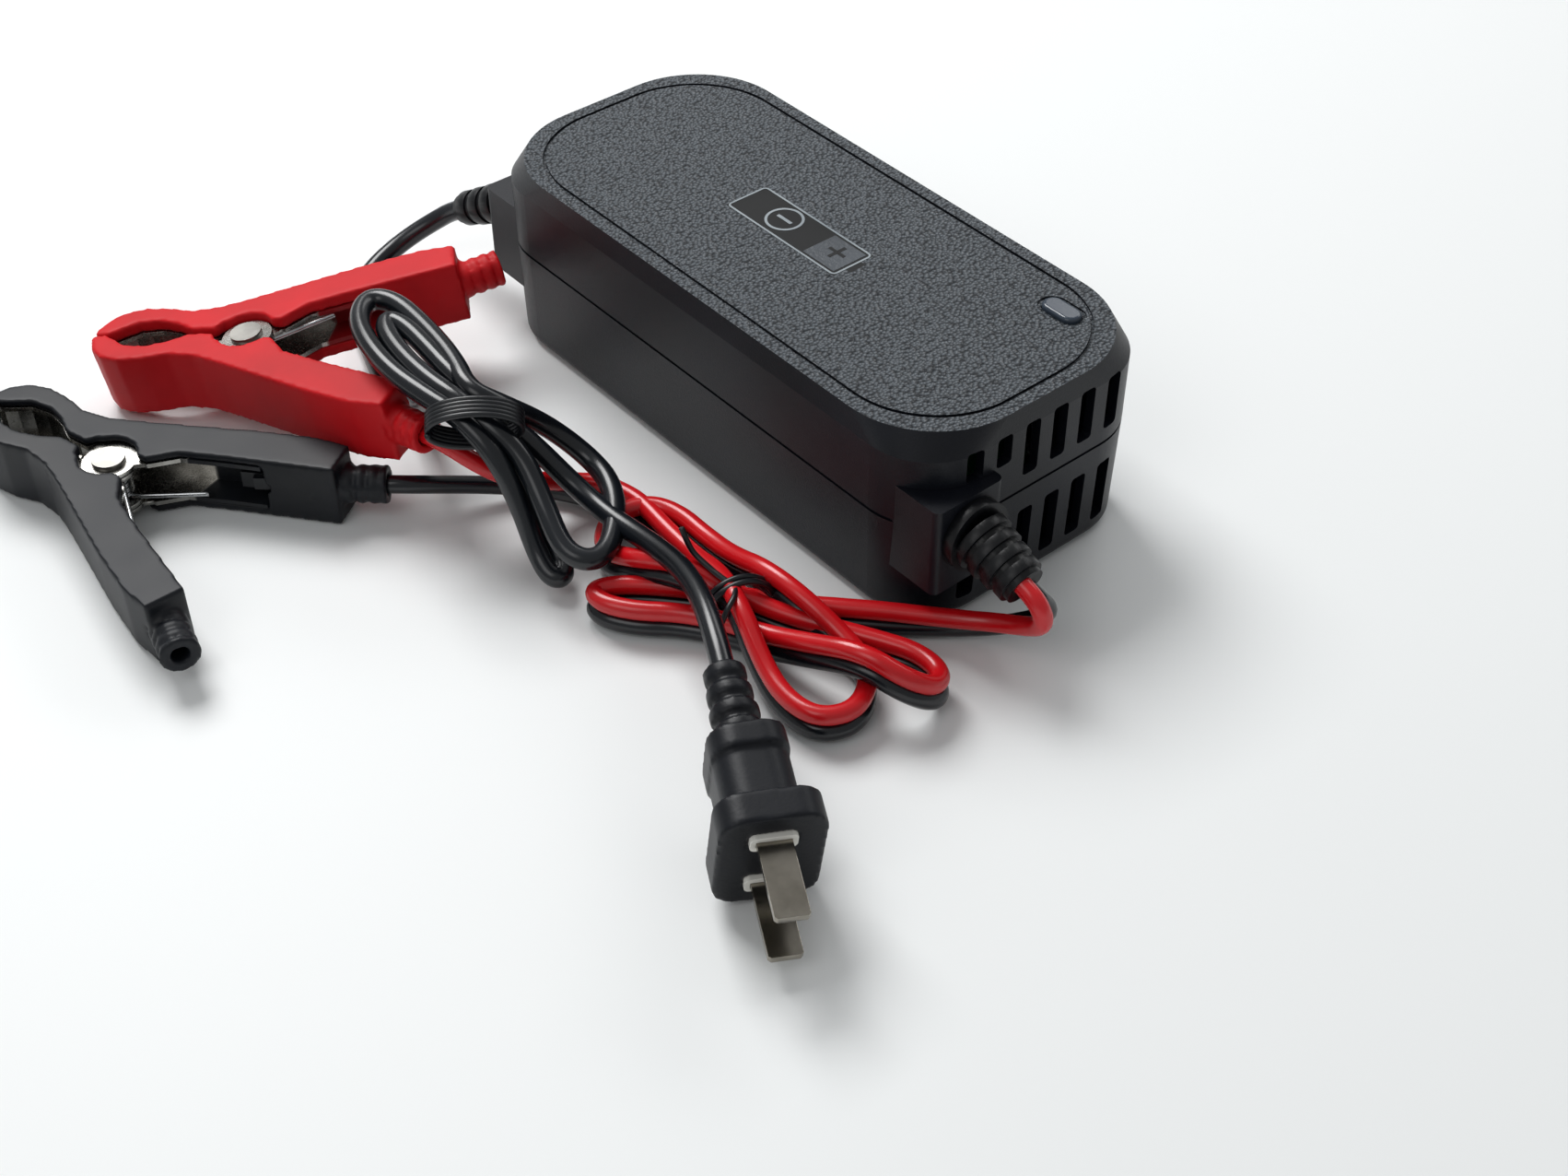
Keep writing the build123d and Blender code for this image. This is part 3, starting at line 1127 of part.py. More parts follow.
TWIST_TAIL_ROUTE = [(46.0, -59.0, 9.6), (40.5, -60.0, 10.4), (36.2, -60.8, 13.4), (34.4, -61.2, 18.2)]
with BuildPart() as dc_cord_tie:
    add(output_strap)
    add(cord_tube("twist tie tail", TWIST_TAIL_ROUTE, 1.4))
save(dc_cord_tie.part, "dc_cord_tie")

# ---------------------------------------------------------------- wires inside the casing
INNER_WIRE = 1.8
INNER_X = CASE_LENGTH / 2 + BOSS_REACH - BOSS_FACE_WALL - FLANGE_GAP - INNER_FLANGE_THICKNESS
with BuildPart() as ac_inner_wires:
    for step in (-1.4, 1.4):
        wire = [
            (-INNER_X, GLAND_Y + step, PARTING_HEIGHT), (-65.0, GLAND_Y + step, PARTING_HEIGHT),
            (-59.0, GLAND_Y - 1.2 + step, 23.6), (-54.2, GLAND_Y + 0.4 + step, 18.4),
            (-53.0, GLAND_Y + 2.0 + step, 13.0), (-53.0, GLAND_Y + 2.0 + step, BOARD_TOP),
        ]
        add(cord_tube("inner mains wire", wire, INNER_WIRE))
save(ac_inner_wires.part, "ac_inner_wires")
with BuildPart() as dc_inner_wires:
    for step in (-1.9, 1.9):
        wire = [
            (INNER_X, GLAND_Y + step, PARTING_HEIGHT), (65.0, GLAND_Y + step, PARTING_HEIGHT),
            (59.0, GLAND_Y - 1.2 + step, 23.6), (54.2, GLAND_Y + 0.4 + step, 18.4),
            (53.0, GLAND_Y + 2.0 + step, 13.0), (53.0, GLAND_Y + 2.0 + step, BOARD_TOP),
        ]
        add(cord_tube("inner output wire", wire, INNER_WIRE))
save(dc_inner_wires.part, "dc_inner_wires")
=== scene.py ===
"""Car battery charger: finished visual model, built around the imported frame."""

import math

import bpy
import numpy as np
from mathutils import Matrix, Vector


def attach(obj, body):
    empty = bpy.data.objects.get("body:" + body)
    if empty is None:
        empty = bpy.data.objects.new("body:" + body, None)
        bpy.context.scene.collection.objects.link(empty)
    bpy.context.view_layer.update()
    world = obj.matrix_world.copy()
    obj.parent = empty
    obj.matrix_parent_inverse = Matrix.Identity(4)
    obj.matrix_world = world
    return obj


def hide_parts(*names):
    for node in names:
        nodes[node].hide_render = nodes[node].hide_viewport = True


MM = 0.001

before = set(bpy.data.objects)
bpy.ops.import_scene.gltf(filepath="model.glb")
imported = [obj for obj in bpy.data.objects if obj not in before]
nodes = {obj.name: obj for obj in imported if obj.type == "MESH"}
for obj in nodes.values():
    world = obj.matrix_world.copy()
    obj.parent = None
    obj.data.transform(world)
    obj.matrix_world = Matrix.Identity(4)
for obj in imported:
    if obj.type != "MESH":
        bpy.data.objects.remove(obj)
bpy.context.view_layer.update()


# ------------------------------------------------------------------ colours and node helpers

def linear(hex_colour):
    """sRGB hex to linear RGBA: c/12.92 below 0.04045, else ((c + 0.055)/1.055)^2.4."""
    channels = [int(hex_colour[i:i + 2], 16) / 255 for i in (1, 3, 5)]
    return tuple(c / 12.92 if c <= 0.04045 else ((c + 0.055) / 1.055) ** 2.4
                 for c in channels) + (1.0,)


def node(material, kind, links=(), **settings):
    """Adds one node, sets its properties or input values, and links (socket, source) pairs."""
    made = material.node_tree.nodes.new(kind)
    for name, value in settings.items():
        if hasattr(made, name):
            setattr(made, name, value)
        else:
            made.inputs[name.replace("_", " ")].default_value = value
    for socket, source in links:
        material.node_tree.links.new(source, made.inputs[socket])
    return made


def new_material(name, colour, roughness, metallic=0.0, ior=1.5, **sockets):
    """A Principled material with its constants set on the shader's own sockets."""
    material = bpy.data.materials.new(name)
    material.use_nodes = True
    shader = material.node_tree.nodes["Principled BSDF"]
    shader.inputs["Base Color"].default_value = linear(colour)
    shader.inputs["Roughness"].default_value = roughness
    shader.inputs["Metallic"].default_value = metallic
    shader.inputs["IOR"].default_value = ior
    for socket, value in sockets.items():
        shader.inputs[socket.replace("_", " ")].default_value = value
    return material, shader


def ramp(material, source, low, high, stops=(0.35, 0.65)):
    """Colour ramp between two hex colours over a 0..1 source."""
    made = node(material, "ShaderNodeValToRGB", links=[(0, source)])
    made.color_ramp.elements[0].position = stops[0]
    made.color_ramp.elements[1].position = stops[1]
    made.color_ramp.elements[0].color = linear(low)
    made.color_ramp.elements[1].color = linear(high)
    return made.outputs["Color"]


def spread(material, source, low, high):
    """Map a 0..1 source onto low..high."""
    return node(material, "ShaderNodeMapRange", links=[(0, source)],
                To_Min=low, To_Max=high).outputs["Result"]


def speckle(material, size_mm, detail=3.0, stretch=(1, 1, 1)):
    """Noise on Object coordinates whose features are about size_mm across."""
    place = node(material, "ShaderNodeTexCoord")
    turned = node(material, "ShaderNodeMapping", links=[("Vector", place.outputs["Object"])],
                  Scale=stretch)
    return node(material, "ShaderNodeTexNoise", links=[("Vector", turned.outputs["Vector"])],
                Scale=1 / (size_mm * MM), Detail=detail).outputs["Fac"]


def bumped(material, shader, source, strength, depth_mm):
    """Bump from a height source of the given depth in millimetres."""
    bump = node(material, "ShaderNodeBump", links=[("Height", source)],
                Strength=strength, Distance=depth_mm * MM)
    material.node_tree.links.new(bump.outputs["Normal"], shader.inputs["Normal"])
    return bump


def moulded(name, dark, light, roughness, grain_mm, depth_mm, strength=0.35, ior=1.5, **sockets):
    """A moulded surface: fine grain in the relief, faint uneven tone and gloss."""
    material, shader = new_material(name, dark, sum(roughness) / 2, ior=ior, **sockets)
    tone = speckle(material, 22.0, 4.0)
    grain = speckle(material, grain_mm, 2.0)
    material.node_tree.links.new(ramp(material, tone, dark, light), shader.inputs["Base Color"])
    material.node_tree.links.new(spread(material, tone, *roughness), shader.inputs["Roughness"])
    bumped(material, shader, grain, strength, depth_mm)
    return material


def metal(name, colour, light, roughness, line_mm, stretch=(1, 1, 1), strength=0.12):
    """A plated or rolled metal: fine lines or mottling in gloss and relief, no base tint change."""
    material, shader = new_material(name, colour, roughness[0], metallic=1.0)
    lines = speckle(material, line_mm, 4.0, stretch)
    tone = speckle(material, 6.0, 3.0)
    material.node_tree.links.new(ramp(material, tone, colour, light), shader.inputs["Base Color"])
    material.node_tree.links.new(spread(material, lines, *roughness), shader.inputs["Roughness"])
    bumped(material, shader, lines, strength, 0.02)
    return material


# ------------------------------------------------------------------ materials

PANEL_GRAIN_MM = 0.75
SIDE_GRAIN_MM = 0.35
PANEL_FROM, PANEL_FULL = 44.5 * MM, 45.5 * MM


def spark_eroded_abs():
    """Flame-retardant ABS, black with a blue cast. The top face carries a spark-eroded grain
    drawn 0.75 mm across, coarser than the mould's, so that it shows, and a painted sheen: its
    base colour is pale grey with painted glints at the grain's cells, where the side walls are
    black. The side walls are finer and smoother."""
    material, shader = new_material("spark_eroded_black_abs", "#0c0e13", 0.42, ior=1.53,
                                    Specular_IOR_Level=0.28)
    coordinates = node(material, "ShaderNodeTexCoord")
    geometry = node(material, "ShaderNodeSeparateXYZ",
                    links=[("Vector", coordinates.outputs["Object"])])
    upward = node(material, "ShaderNodeSeparateXYZ",
                  links=[("Vector", coordinates.outputs["Normal"])])
    flat = node(material, "ShaderNodeMapRange", links=[(0, upward.outputs["Z"])],
                From_Min=0.85, From_Max=0.99).outputs["Result"]
    high = node(material, "ShaderNodeMapRange", links=[(0, geometry.outputs["Z"])],
                From_Min=PANEL_FROM, From_Max=PANEL_FULL).outputs["Result"]
    panel = node(material, "ShaderNodeMath", operation="MULTIPLY",
                 links=[(0, flat), (1, high)]).outputs[0]
    coarse = node(material, "ShaderNodeTexVoronoi",
                  links=[("Vector", coordinates.outputs["Object"])],
                  Scale=1 / (PANEL_GRAIN_MM * MM)).outputs["Distance"]
    fine = speckle(material, SIDE_GRAIN_MM, 2.0)
    grain = node(material, "ShaderNodeMix", links=[(0, panel), (2, fine), (3, coarse)])
    depth = node(material, "ShaderNodeMapRange", links=[(0, panel)],
                 To_Min=0.10, To_Max=1.0).outputs["Result"]
    tone = speckle(material, 30.0, 3.0)
    links = material.node_tree.links
    side_colour = ramp(material, tone, "#090b12", "#0f121b")
    # Painted sheen and glints on the top face: pale grey, brightest at the grain's cell centres.
    painted_glint_colour = ramp(material, coarse, "#63696f", "#1c2025", (0.15, 0.75))
    colour = node(material, "ShaderNodeMix", data_type="RGBA",
                  links=[(0, panel), (6, side_colour), (7, painted_glint_colour)]).outputs[2]
    links.new(colour, shader.inputs["Base Color"])
    glint = node(material, "ShaderNodeMapRange", links=[(0, grain.outputs[0])],
                 To_Min=0.34, To_Max=0.50).outputs["Result"]
    links.new(glint, shader.inputs["Roughness"])
    bump = node(material, "ShaderNodeBump", links=[("Height", grain.outputs[0]),
                                                   ("Strength", depth)], Distance=0.45 * MM)
    links.new(bump.outputs["Normal"], shader.inputs["Normal"])
    return material


CASE = spark_eroded_abs()
# Nickel-plated steel: bright, slightly warm, with fine rolling lines about 0.3 mm apart.
NICKEL = metal("nickel_plated_steel", "#807e7a", "#a3a19c", (0.26, 0.42), 0.5, (1, 1, 5))
# Plug blades are stamped brass under bright nickel, drawn lengthwise.
BLADE_NICKEL = metal("bright_nickel_blades", "#8d877c", "#a8a297", (0.14, 0.30), 0.6, (1, 5, 5))
# Music wire under zinc plate: small, hard highlights along each turn.
SPRING_WIRE = metal("plated_spring_wire", "#a9abad", "#cfd1d2", (0.15, 0.28), 0.35)
# Blackened screw steel: dark grey with a dull glint on the heads.
SCREW_STEEL = metal("blackened_screw_steel", "#35373a", "#4a4c50", (0.30, 0.45), 0.3)
# Extruded heat sink: pale satin with drawn lines up the fins.
ALUMINIUM = metal("extruded_aluminium", "#b4b6b8", "#c9cbcd", (0.28, 0.45), 0.4, (1, 1, 8))
# Enamelled copper winding: orange-brown and shiny, with the lay of the turns.
COPPER = metal("enamelled_copper_wire", "#9c4a1e", "#b65f2c", (0.22, 0.34), 0.5, (1, 6, 1))
# Soft PVC clip boots: satin, faint flow marks and a little pale scuffing.
RED_BOOT = moulded("soft_red_pvc", "#ba0812", "#cf121c", (0.46, 0.58), 0.9, 0.05, 0.30, 1.52,
                   Specular_IOR_Level=0.22, Subsurface_Weight=0.04, Subsurface_Scale=0.001)
BLACK_BOOT = moulded("soft_black_pvc", "#0a0d13", "#10141b", (0.40, 0.56), 0.9, 0.05, 0.30, 1.52,
                     Specular_IOR_Level=0.3)
# Overmoulded strain reliefs: nearly black, softer gloss than the cord.
RELIEF_RUBBER = moulded("moulded_relief_pvc", "#07080b", "#0c0e12", (0.32, 0.44), 0.8, 0.04, 0.25,
                        Specular_IOR_Level=0.35)
# Overmoulded plug: black with a blue cast and a fine matt grain.
PLUG_RUBBER = moulded("moulded_plug_pvc", "#090b11", "#0e1118", (0.36, 0.50), 0.7, 0.06, 0.40,
                      Specular_IOR_Level=0.3)
# Nylon blade carrier: off-white, faintly satin.
PLUG_WHITE = moulded("white_nylon_insert", "#dedbd2", "#ebe9e2", (0.35, 0.45), 0.9, 0.02)
# Vinyl-coated tie wire: black and a little shiny.
TIE_PLASTIC = moulded("vinyl_cord_tie", "#0b0d11", "#14171c", (0.28, 0.40), 0.6, 0.04, 0.30)
# Solder-masked glass laminate: deep green under a thin gloss.
LAMINATE = moulded("epoxy_glass_laminate", "#1f5a34", "#2b6d41", (0.35, 0.50), 1.2, 0.03)
# Sintered ferrite: charcoal, dry and matt.
FERRITE = moulded("sintered_ferrite", "#26272a", "#35373b", (0.55, 0.70), 0.6, 0.05)
# Polyester winding tape: glossy amber.
TAPE = moulded("polyester_winding_tape", "#c9a22c", "#dcb93f", (0.25, 0.35), 1.5, 0.03)
# Phenolic bobbin: brown-black, matt.
BOBBIN = moulded("phenolic_bobbin", "#1b1b1d", "#29292b", (0.45, 0.55), 0.8, 0.03)
# Chip and transistor epoxy: black with a sandy mould finish.
EPOXY = moulded("moulded_chip_epoxy", "#18191b", "#222326", (0.45, 0.60), 0.5, 0.03)
# Shrunk sleeve on the cans: dark blue, tight and glossy.
SLEEVE = moulded("shrunk_can_sleeve", "#17202c", "#202c3b", (0.20, 0.30), 2.0, 0.02)
# Film capacitor box: yellow polyester, satin.
FILM_BOX = moulded("film_capacitor_box", "#c8a12a", "#d6b040", (0.30, 0.42), 1.4, 0.03)
# Hook-up wire insulation: plain grey PVC.
INNER_INSULATION = moulded("inner_wire_insulation", "#3a3d42", "#55595f", (0.30, 0.40), 0.8, 0.02)


def clear(name, colour, transmission, roughness, ior):
    """Clear or milky moulding: transmission with a faint surface unevenness."""
    material, shader = new_material(name, colour, roughness, ior=ior,
                                    Transmission_Weight=transmission)
    bumped(material, shader, speckle(material, 1.2), 0.10, 0.02)
    return material


# Milky acrylic light pipe, grey where the lamp is off.
LENS = clear("milky_acrylic_lens", "#3d4754", 0.15, 0.18, 1.49)
# Glass tube of the fuse: colourless and sharp.
FUSE_GLASS = clear("fuse_glass", "#e4eaea", 0.85, 0.05, 1.52)
# Diffused epoxy lamp: milky white, half clear.
LAMP_EPOXY = clear("diffused_lamp_epoxy", "#d9ddda", 0.4, 0.20, 1.54)
# Black pad print of the symbol's field: smoother and darker than the case.
SYMBOL_DARK = moulded("black_pad_print", "#030405", "#050608", (0.26, 0.34), 4.0, 0.005, 0.05)
# Thin translucent varnish over the case grain, a shade lighter than the moulding.
EMPTY_CELL = moulded("varnished_case_grain", "#30353b", "#444a51", (0.35, 0.50), 0.75, 0.2, 0.8)
# Pad-printed ink a little lighter than the case.
SYMBOL_INK = moulded("grey_pad_print_ink", "#7d868c", "#9aa2a7", (0.35, 0.45), 0.7, 0.01)


def cord_sheath(name, dark, light, roughness):
    """Extruded PVC cord sheath: glossy, faint lengthwise tone change every 30 mm or so."""
    return moulded(name, dark, light, roughness, 1.6, 0.03, 0.18, 1.53)


# Sheaths as extruded: black and bright red, with a long soft highlight.
MAINS_SHEATH = cord_sheath("black_pvc_mains_sheath", "#0b0e13", "#12161c", (0.20, 0.30))
BLACK_WIRE = cord_sheath("black_pvc_wire", "#0b0e14", "#12161d", (0.18, 0.28))
RED_WIRE = cord_sheath("red_pvc_wire", "#c00a14", "#d4161f", (0.20, 0.30))


def shade_painted_jaw(name, place, along, dark, light, reach_mm=13.0):
    """Nickel-plated jaw whose tang, past the reach from the rivet towards the handle, is painted in
    a
    dark PVC colour: partly the boot that covers it, partly painted shade inside the arm. The mask
    is the distance along the clip from the rivet."""
    material, shader = new_material(name, "#9c9a95", 0.25, metallic=1.0)
    place_mm = [value * MM for value in place]
    coordinates = node(material, "ShaderNodeTexCoord").outputs["Object"]
    offset = node(material, "ShaderNodeVectorMath", operation="SUBTRACT",
                  links=[(0, coordinates)])
    offset.inputs[1].default_value = place_mm
    reach = node(material, "ShaderNodeVectorMath", operation="DOT_PRODUCT",
                 links=[(0, offset.outputs["Vector"])])
    reach.inputs[1].default_value = along
    shade_mask = node(material, "ShaderNodeMapRange", links=[(0, reach.outputs["Value"])],
                  From_Min=reach_mm * MM, From_Max=(reach_mm + 0.6) * MM).outputs["Result"]
    bare = node(material, "ShaderNodeMath", operation="SUBTRACT", links=[(1, shade_mask)])
    bare.inputs[0].default_value = 1.0
    lines = speckle(material, 0.5, 4.0, (1, 1, 5))
    tone = speckle(material, 6.0, 3.0)
    steel = ramp(material, tone, "#8f8d88", "#bdbbb6")
    # Painted shade: past the reach the tang takes this dark PVC colour in place of the nickel.
    skin = ramp(material, tone, dark, light)
    colour = node(material, "ShaderNodeMix", data_type="RGBA",
                  links=[(0, shade_mask), (6, steel), (7, skin)]).outputs[2]
    links = material.node_tree.links
    links.new(colour, shader.inputs["Base Color"])
    links.new(bare.outputs[0], shader.inputs["Metallic"])
    gloss = spread(material, lines, 0.18, 0.34)
    rough = node(material, "ShaderNodeMix", links=[(0, shade_mask), (2, gloss)])
    rough.inputs[3].default_value = 0.5
    links.new(rough.outputs[0], shader.inputs["Roughness"])
    bumped(material, shader, lines, 0.12, 0.02)
    return material


def dress(obj, material):
    """Give an object one material."""
    obj.data.materials.clear()
    obj.data.materials.append(material)


FINISHES = {
    CASE: ("top_cover", "bottom_cover"),
    SCREW_STEEL: ("case_screws", "board_screws"),
    LENS: ("status_led_lens",),
    SYMBOL_DARK: ("battery_symbol",),
    RELIEF_RUBBER: ("ac_strain_relief", "dc_strain_relief"),
    LAMINATE: ("circuit_board",),
    BOBBIN: ("transformer_bobbin",),
    FERRITE: ("transformer_core", "common_mode_choke"),
    TAPE: ("transformer_winding",),
    ALUMINIUM: ("primary_heat_sink", "secondary_heat_sink"),
    EPOXY: ("switching_transistor", "rectifier_diode", "bridge_rectifier", "controller_chip",
            "optocoupler"),
    SLEEVE: ("bulk_capacitor", "output_capacitors"),
    FILM_BOX: ("x_capacitor",),
    FUSE_GLASS: ("fuse",),
    COPPER: ("output_inductor",),
    LAMP_EPOXY: ("status_led",),
    INNER_INSULATION: ("ac_inner_wires", "dc_inner_wires"),
    TIE_PLASTIC: ("ac_cord_tie", "dc_cord_tie"),
    PLUG_RUBBER: ("plug_body",),
    PLUG_WHITE: ("plug_insert",),
    BLADE_NICKEL: ("plug_blades",),
    RED_BOOT: ("red_wired_boot", "red_free_boot"),
    BLACK_BOOT: ("black_wired_boot", "black_free_boot"),
    NICKEL: ("red_clip_rivet", "black_clip_rivet"),
    SPRING_WIRE: ("red_clip_spring", "black_clip_spring"),
}
for finish, names in FINISHES.items():
    for name in names:
        dress(nodes[name], finish)


def soften(name, width_mm, segments=2, angle=30):
    """Rounded edges on a carried-over node: its loose triangles are welded, then a bevel is
    rolled over every edge sharper than the angle."""
    weld = nodes[name].modifiers.new("one skin", "WELD")
    weld.merge_threshold = 0.005 * MM
    bevel = nodes[name].modifiers.new("rounded edge", "BEVEL")
    bevel.width = width_mm * MM
    bevel.segments = segments
    bevel.limit_method = "ANGLE"
    bevel.angle_limit = math.radians(angle)
    bevel.use_clamp_overlap = True
    bevel.harden_normals = True


def round_over(name, voxel_mm, passes):
    """Soft moulded edges on a carried-over node: its skin is re-laid on an even grid of voxels
    and each point is then moved towards the mean of its neighbours a number of times."""
    grid = nodes[name].modifiers.new("even skin", "REMESH")
    grid.mode = "VOXEL"
    grid.voxel_size = voxel_mm * MM
    grid.use_smooth_shade = True
    relax = nodes[name].modifiers.new("rounded edges", "SMOOTH")
    relax.factor = 0.5
    relax.iterations = passes


for colour in ("red", "black"):
    for half in ("wired_boot", "free_boot"):
        round_over(f"{colour}_{half}", 0.5, 8)
    for piece in ("wired_jaw", "free_jaw", "clip_rivet"):
        soften(f"{colour}_{piece}", 0.18, 2)
round_over("plug_body", 0.45, 6)
soften("plug_insert", 0.12)
soften("plug_blades", 0.18)
soften("ac_strain_relief", 0.3)
soften("dc_strain_relief", 0.3)


# ------------------------------------------------------------------ geometry helpers

def mesh_object(name, points, faces, smooth=True):
    """Mesh from an (n, 3) array in metres and a face array, shaded smooth."""
    mesh = bpy.data.meshes.new(name)
    mesh.from_pydata(np.asarray(points).tolist(), [], [list(map(int, face)) for face in faces])
    mesh.update()
    mesh.polygons.foreach_set("use_smooth", np.full(len(mesh.polygons), smooth))
    made = bpy.data.objects.new(name, mesh)
    bpy.context.scene.collection.objects.link(made)
    return made


def grid_faces(rows, columns, closed_columns=True):
    """Quads of a rows x columns grid; columns wrap round when closed."""
    last = columns if closed_columns else columns - 1
    r, c = np.meshgrid(np.arange(rows - 1), np.arange(last), indexing="ij")
    a = r * columns + c
    b = r * columns + (c + 1) % columns
    return np.stack([a, b, b + columns, a + columns], axis=-1).reshape(-1, 4)


def unit(vector):
    vector = np.asarray(vector, float)
    return vector / np.linalg.norm(vector, axis=-1, keepdims=True)


def sweep(name, line, radii, sides=24, start_up=(0, 0, 1)):
    """Tube: at each point of the line a ring of radius r(s) is laid across the tangent. The
    frame is made by carrying one side vector along, taking off its tangent part each step."""
    line = np.asarray(line, float)
    tangent = unit(np.gradient(line, axis=0))
    side = np.cross(start_up, tangent[0])
    frames = []
    for t in tangent:
        side = unit(side - np.dot(side, t) * t)
        frames.append(side)
    side = np.array(frames)
    up = np.cross(tangent, side)
    turn = np.linspace(0, 2 * np.pi, sides, endpoint=False)
    rings = (line[:, None]
             + np.cos(turn)[None, :, None] * side[:, None] * np.reshape(radii, (-1, 1, 1))
             + np.sin(turn)[None, :, None] * up[:, None] * np.reshape(radii, (-1, 1, 1)))
    points = rings.reshape(-1, 3)
    count = len(line)
    faces = list(grid_faces(count, sides))
    faces.append(range(sides - 1, -1, -1))
    faces.append(range((count - 1) * sides, count * sides))
    return mesh_object(name, points, faces)


def nurbs_cord(name, points_mm, diameter_mm, material, sides=5):
    """One open NURBS spline in metres with a round bevel: the cord's own centreline."""
    curve = bpy.data.curves.new(name, "CURVE")
    curve.dimensions = "3D"
    spline = curve.splines.new("NURBS")
    spline.points.add(len(points_mm) - 1)
    flat = np.column_stack([np.asarray(points_mm) * MM, np.ones(len(points_mm))])
    spline.points.foreach_set("co", flat.ravel())
    spline.order_u = 3
    spline.use_endpoint_u = True
    spline.resolution_u = 8
    curve.bevel_depth = diameter_mm * MM / 2
    curve.bevel_resolution = sides
    curve.use_fill_caps = True
    made = bpy.data.objects.new(name, curve)
    bpy.context.scene.collection.objects.link(made)
    curve.materials.append(material)
    return made


# ------------------------------------------------------------------ mains cord

MAINS_DIAMETER = 4.6
WIRE_DIAMETER = 4.0
RELIEF_TIP = np.array([-93.926, -26.096, 16.874])
RELIEF_DIRECTION = np.array([-0.86454, -0.215554, -0.45399])
PLUG_FACE_CENTRE = np.array([105.6, -98.0, 13.2])
PLUG_AXIS = np.array([0.8745, -0.4630, -0.1444])

MAINS_LEAD = [
    tuple(RELIEF_TIP), tuple(RELIEF_TIP + 4.5 * RELIEF_DIRECTION),
    (-101.3, -30.2, 11.6), (-103.7, -34.8, 8.8), (-104.8, -40.4, 6.2), (-104.0, -46.8, 4.1),
    (-100.8, -52.8, 2.9), (-95.2, -57.7, 2.5), (-87.4, -61.2, 2.5), (-78.8, -64.2, 2.5),
    (-70.0, -67.4, 2.5), (-61.4, -69.4, 2.6), (-53.4, -70.0, 3.6), (-46.4, -70.8, 7.0),
    (-40.7, -72.0, 12.2), (-35.8, -73.4, 17.8), (-31.0, -74.9, 23.4), (-25.8, -76.6, 28.0)]
MAINS_TURNS = [
    # through the tie, down the right loop and back
    (-18.0, -79.0, 30.5), (-9.0, -77.0, 29.6), (-1.0, -74.0, 24.5), (8.0, -75.5, 17.5),
    (17.0, -78.0, 13.5), (22.0, -76.0, 12.2), (22.6, -71.0, 12.0), (15.0, -63.0, 12.2),
    (6.0, -57.6, 12.6), (-3.0, -57.0, 14.0), (-10.0, -62.0, 20.5), (-12.0, -71.0, 29.0),
    # left lobe, outer strand
    (-17.0, -75.5, 32.0), (-27.0, -72.0, 32.0), (-40.0, -70.0, 31.8), (-53.0, -69.3, 31.6),
    (-58.2, -73.0, 31.6), (-54.0, -78.5, 31.6), (-45.5, -82.0, 31.6), (-33.0, -83.8, 31.6),
    (-22.0, -82.8, 31.4), (-12.0, -80.6, 30.5),
    # long loop down to the floor and back
    (-3.0, -79.0, 25.5), (3.0, -78.0, 15.5), (8.0, -78.5, 7.2), (13.5, -79.2, 4.2),
    (15.2, -77.0, 4.0), (11.0, -74.6, 5.0), (4.5, -73.5, 11.5), (-2.0, -73.0, 19.5),
    (-8.0, -75.5, 27.5),
    # left lobe, inner strand
    (-16.0, -78.6, 31.6), (-25.0, -79.6, 31.8), (-36.0, -79.0, 31.6), (-45.0, -77.2, 31.6),
    (-49.0, -74.4, 31.6), (-44.0, -72.8, 31.6), (-34.0, -73.6, 31.6), (-24.0, -74.8, 31.6),
    # down the slope to the tail
    (-14.0, -74.0, 29.4), (-6.0, -68.5, 21.5), (1.0, -65.0, 14.5), (8.0, -64.0, 12.4)]
MAINS_TAIL = [
    (15.0, -64.0, 12.4), (22.0, -63.8, 13.2), (30.0, -64.2, 14.8), (38.6, -65.4, 16.8),
    (47.0, -68.0, 18.8), (55.4, -71.6, 20.2),
    tuple(PLUG_FACE_CENTRE - 48.5 * PLUG_AXIS), tuple(PLUG_FACE_CENTRE - 41.5 * PLUG_AXIS),
    tuple(PLUG_FACE_CENTRE - 34.0 * PLUG_AXIS)]

mains_points = MAINS_LEAD + MAINS_TURNS + MAINS_TAIL
mains_cord = nurbs_cord("mains_cord", mains_points, MAINS_DIAMETER, MAINS_SHEATH)
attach(mains_cord, "charger")
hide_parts("ac_cord_lead", "ac_cord_hank", "ac_cord_tail")


# ------------------------------------------------------------------ output pair

RED_PLACE, RED_AZIMUTH, RED_TILT = np.array([-77.9, -91.6, 6.3]), 41.5, 8.8
BLACK_PLACE, BLACK_AZIMUTH, BLACK_TILT = np.array([-67.0, -134.0, 0.0]), 17.0, 0.0
TAIL_ANGLE = 31.0
TAIL_ROOT = (39.0, 24.6)
HALF_CLIP = 7.5


def clip_axes(azimuth, tilt):
    """Along, left and up of a clip laid down at an azimuth and tilted about its left axis."""
    a, t = math.radians(azimuth), math.radians(tilt)
    along = np.array([math.cos(a) * math.cos(t), math.sin(a) * math.cos(t), math.sin(t)])
    left = np.array([-math.sin(a), math.cos(a), 0.0])
    return along, left, np.cross(along, left)


def on_clip(place, axes, x, y, z):
    return place + x * axes[0] + y * axes[1] + z * axes[2]


def in_tail(place, axes, side, distance):
    """A point on the axis of a boot tail, the distance measured out from its root."""
    a = math.radians(TAIL_ANGLE)
    return on_clip(place, axes, TAIL_ROOT[0] + distance * math.cos(a),
                   side * (TAIL_ROOT[1] + distance * math.sin(a)), HALF_CLIP)


RED_AXES = clip_axes(RED_AZIMUTH, RED_TILT)
BLACK_AXES = clip_axes(BLACK_AZIMUTH, BLACK_TILT)

OUTPUT_DIRECTION = np.array([0.956305, 0.0, -0.292372])
RED_EXIT = np.array([90.87, -23.32, 23.05])
BLACK_EXIT = np.array([89.95, -20.68, 20.05])

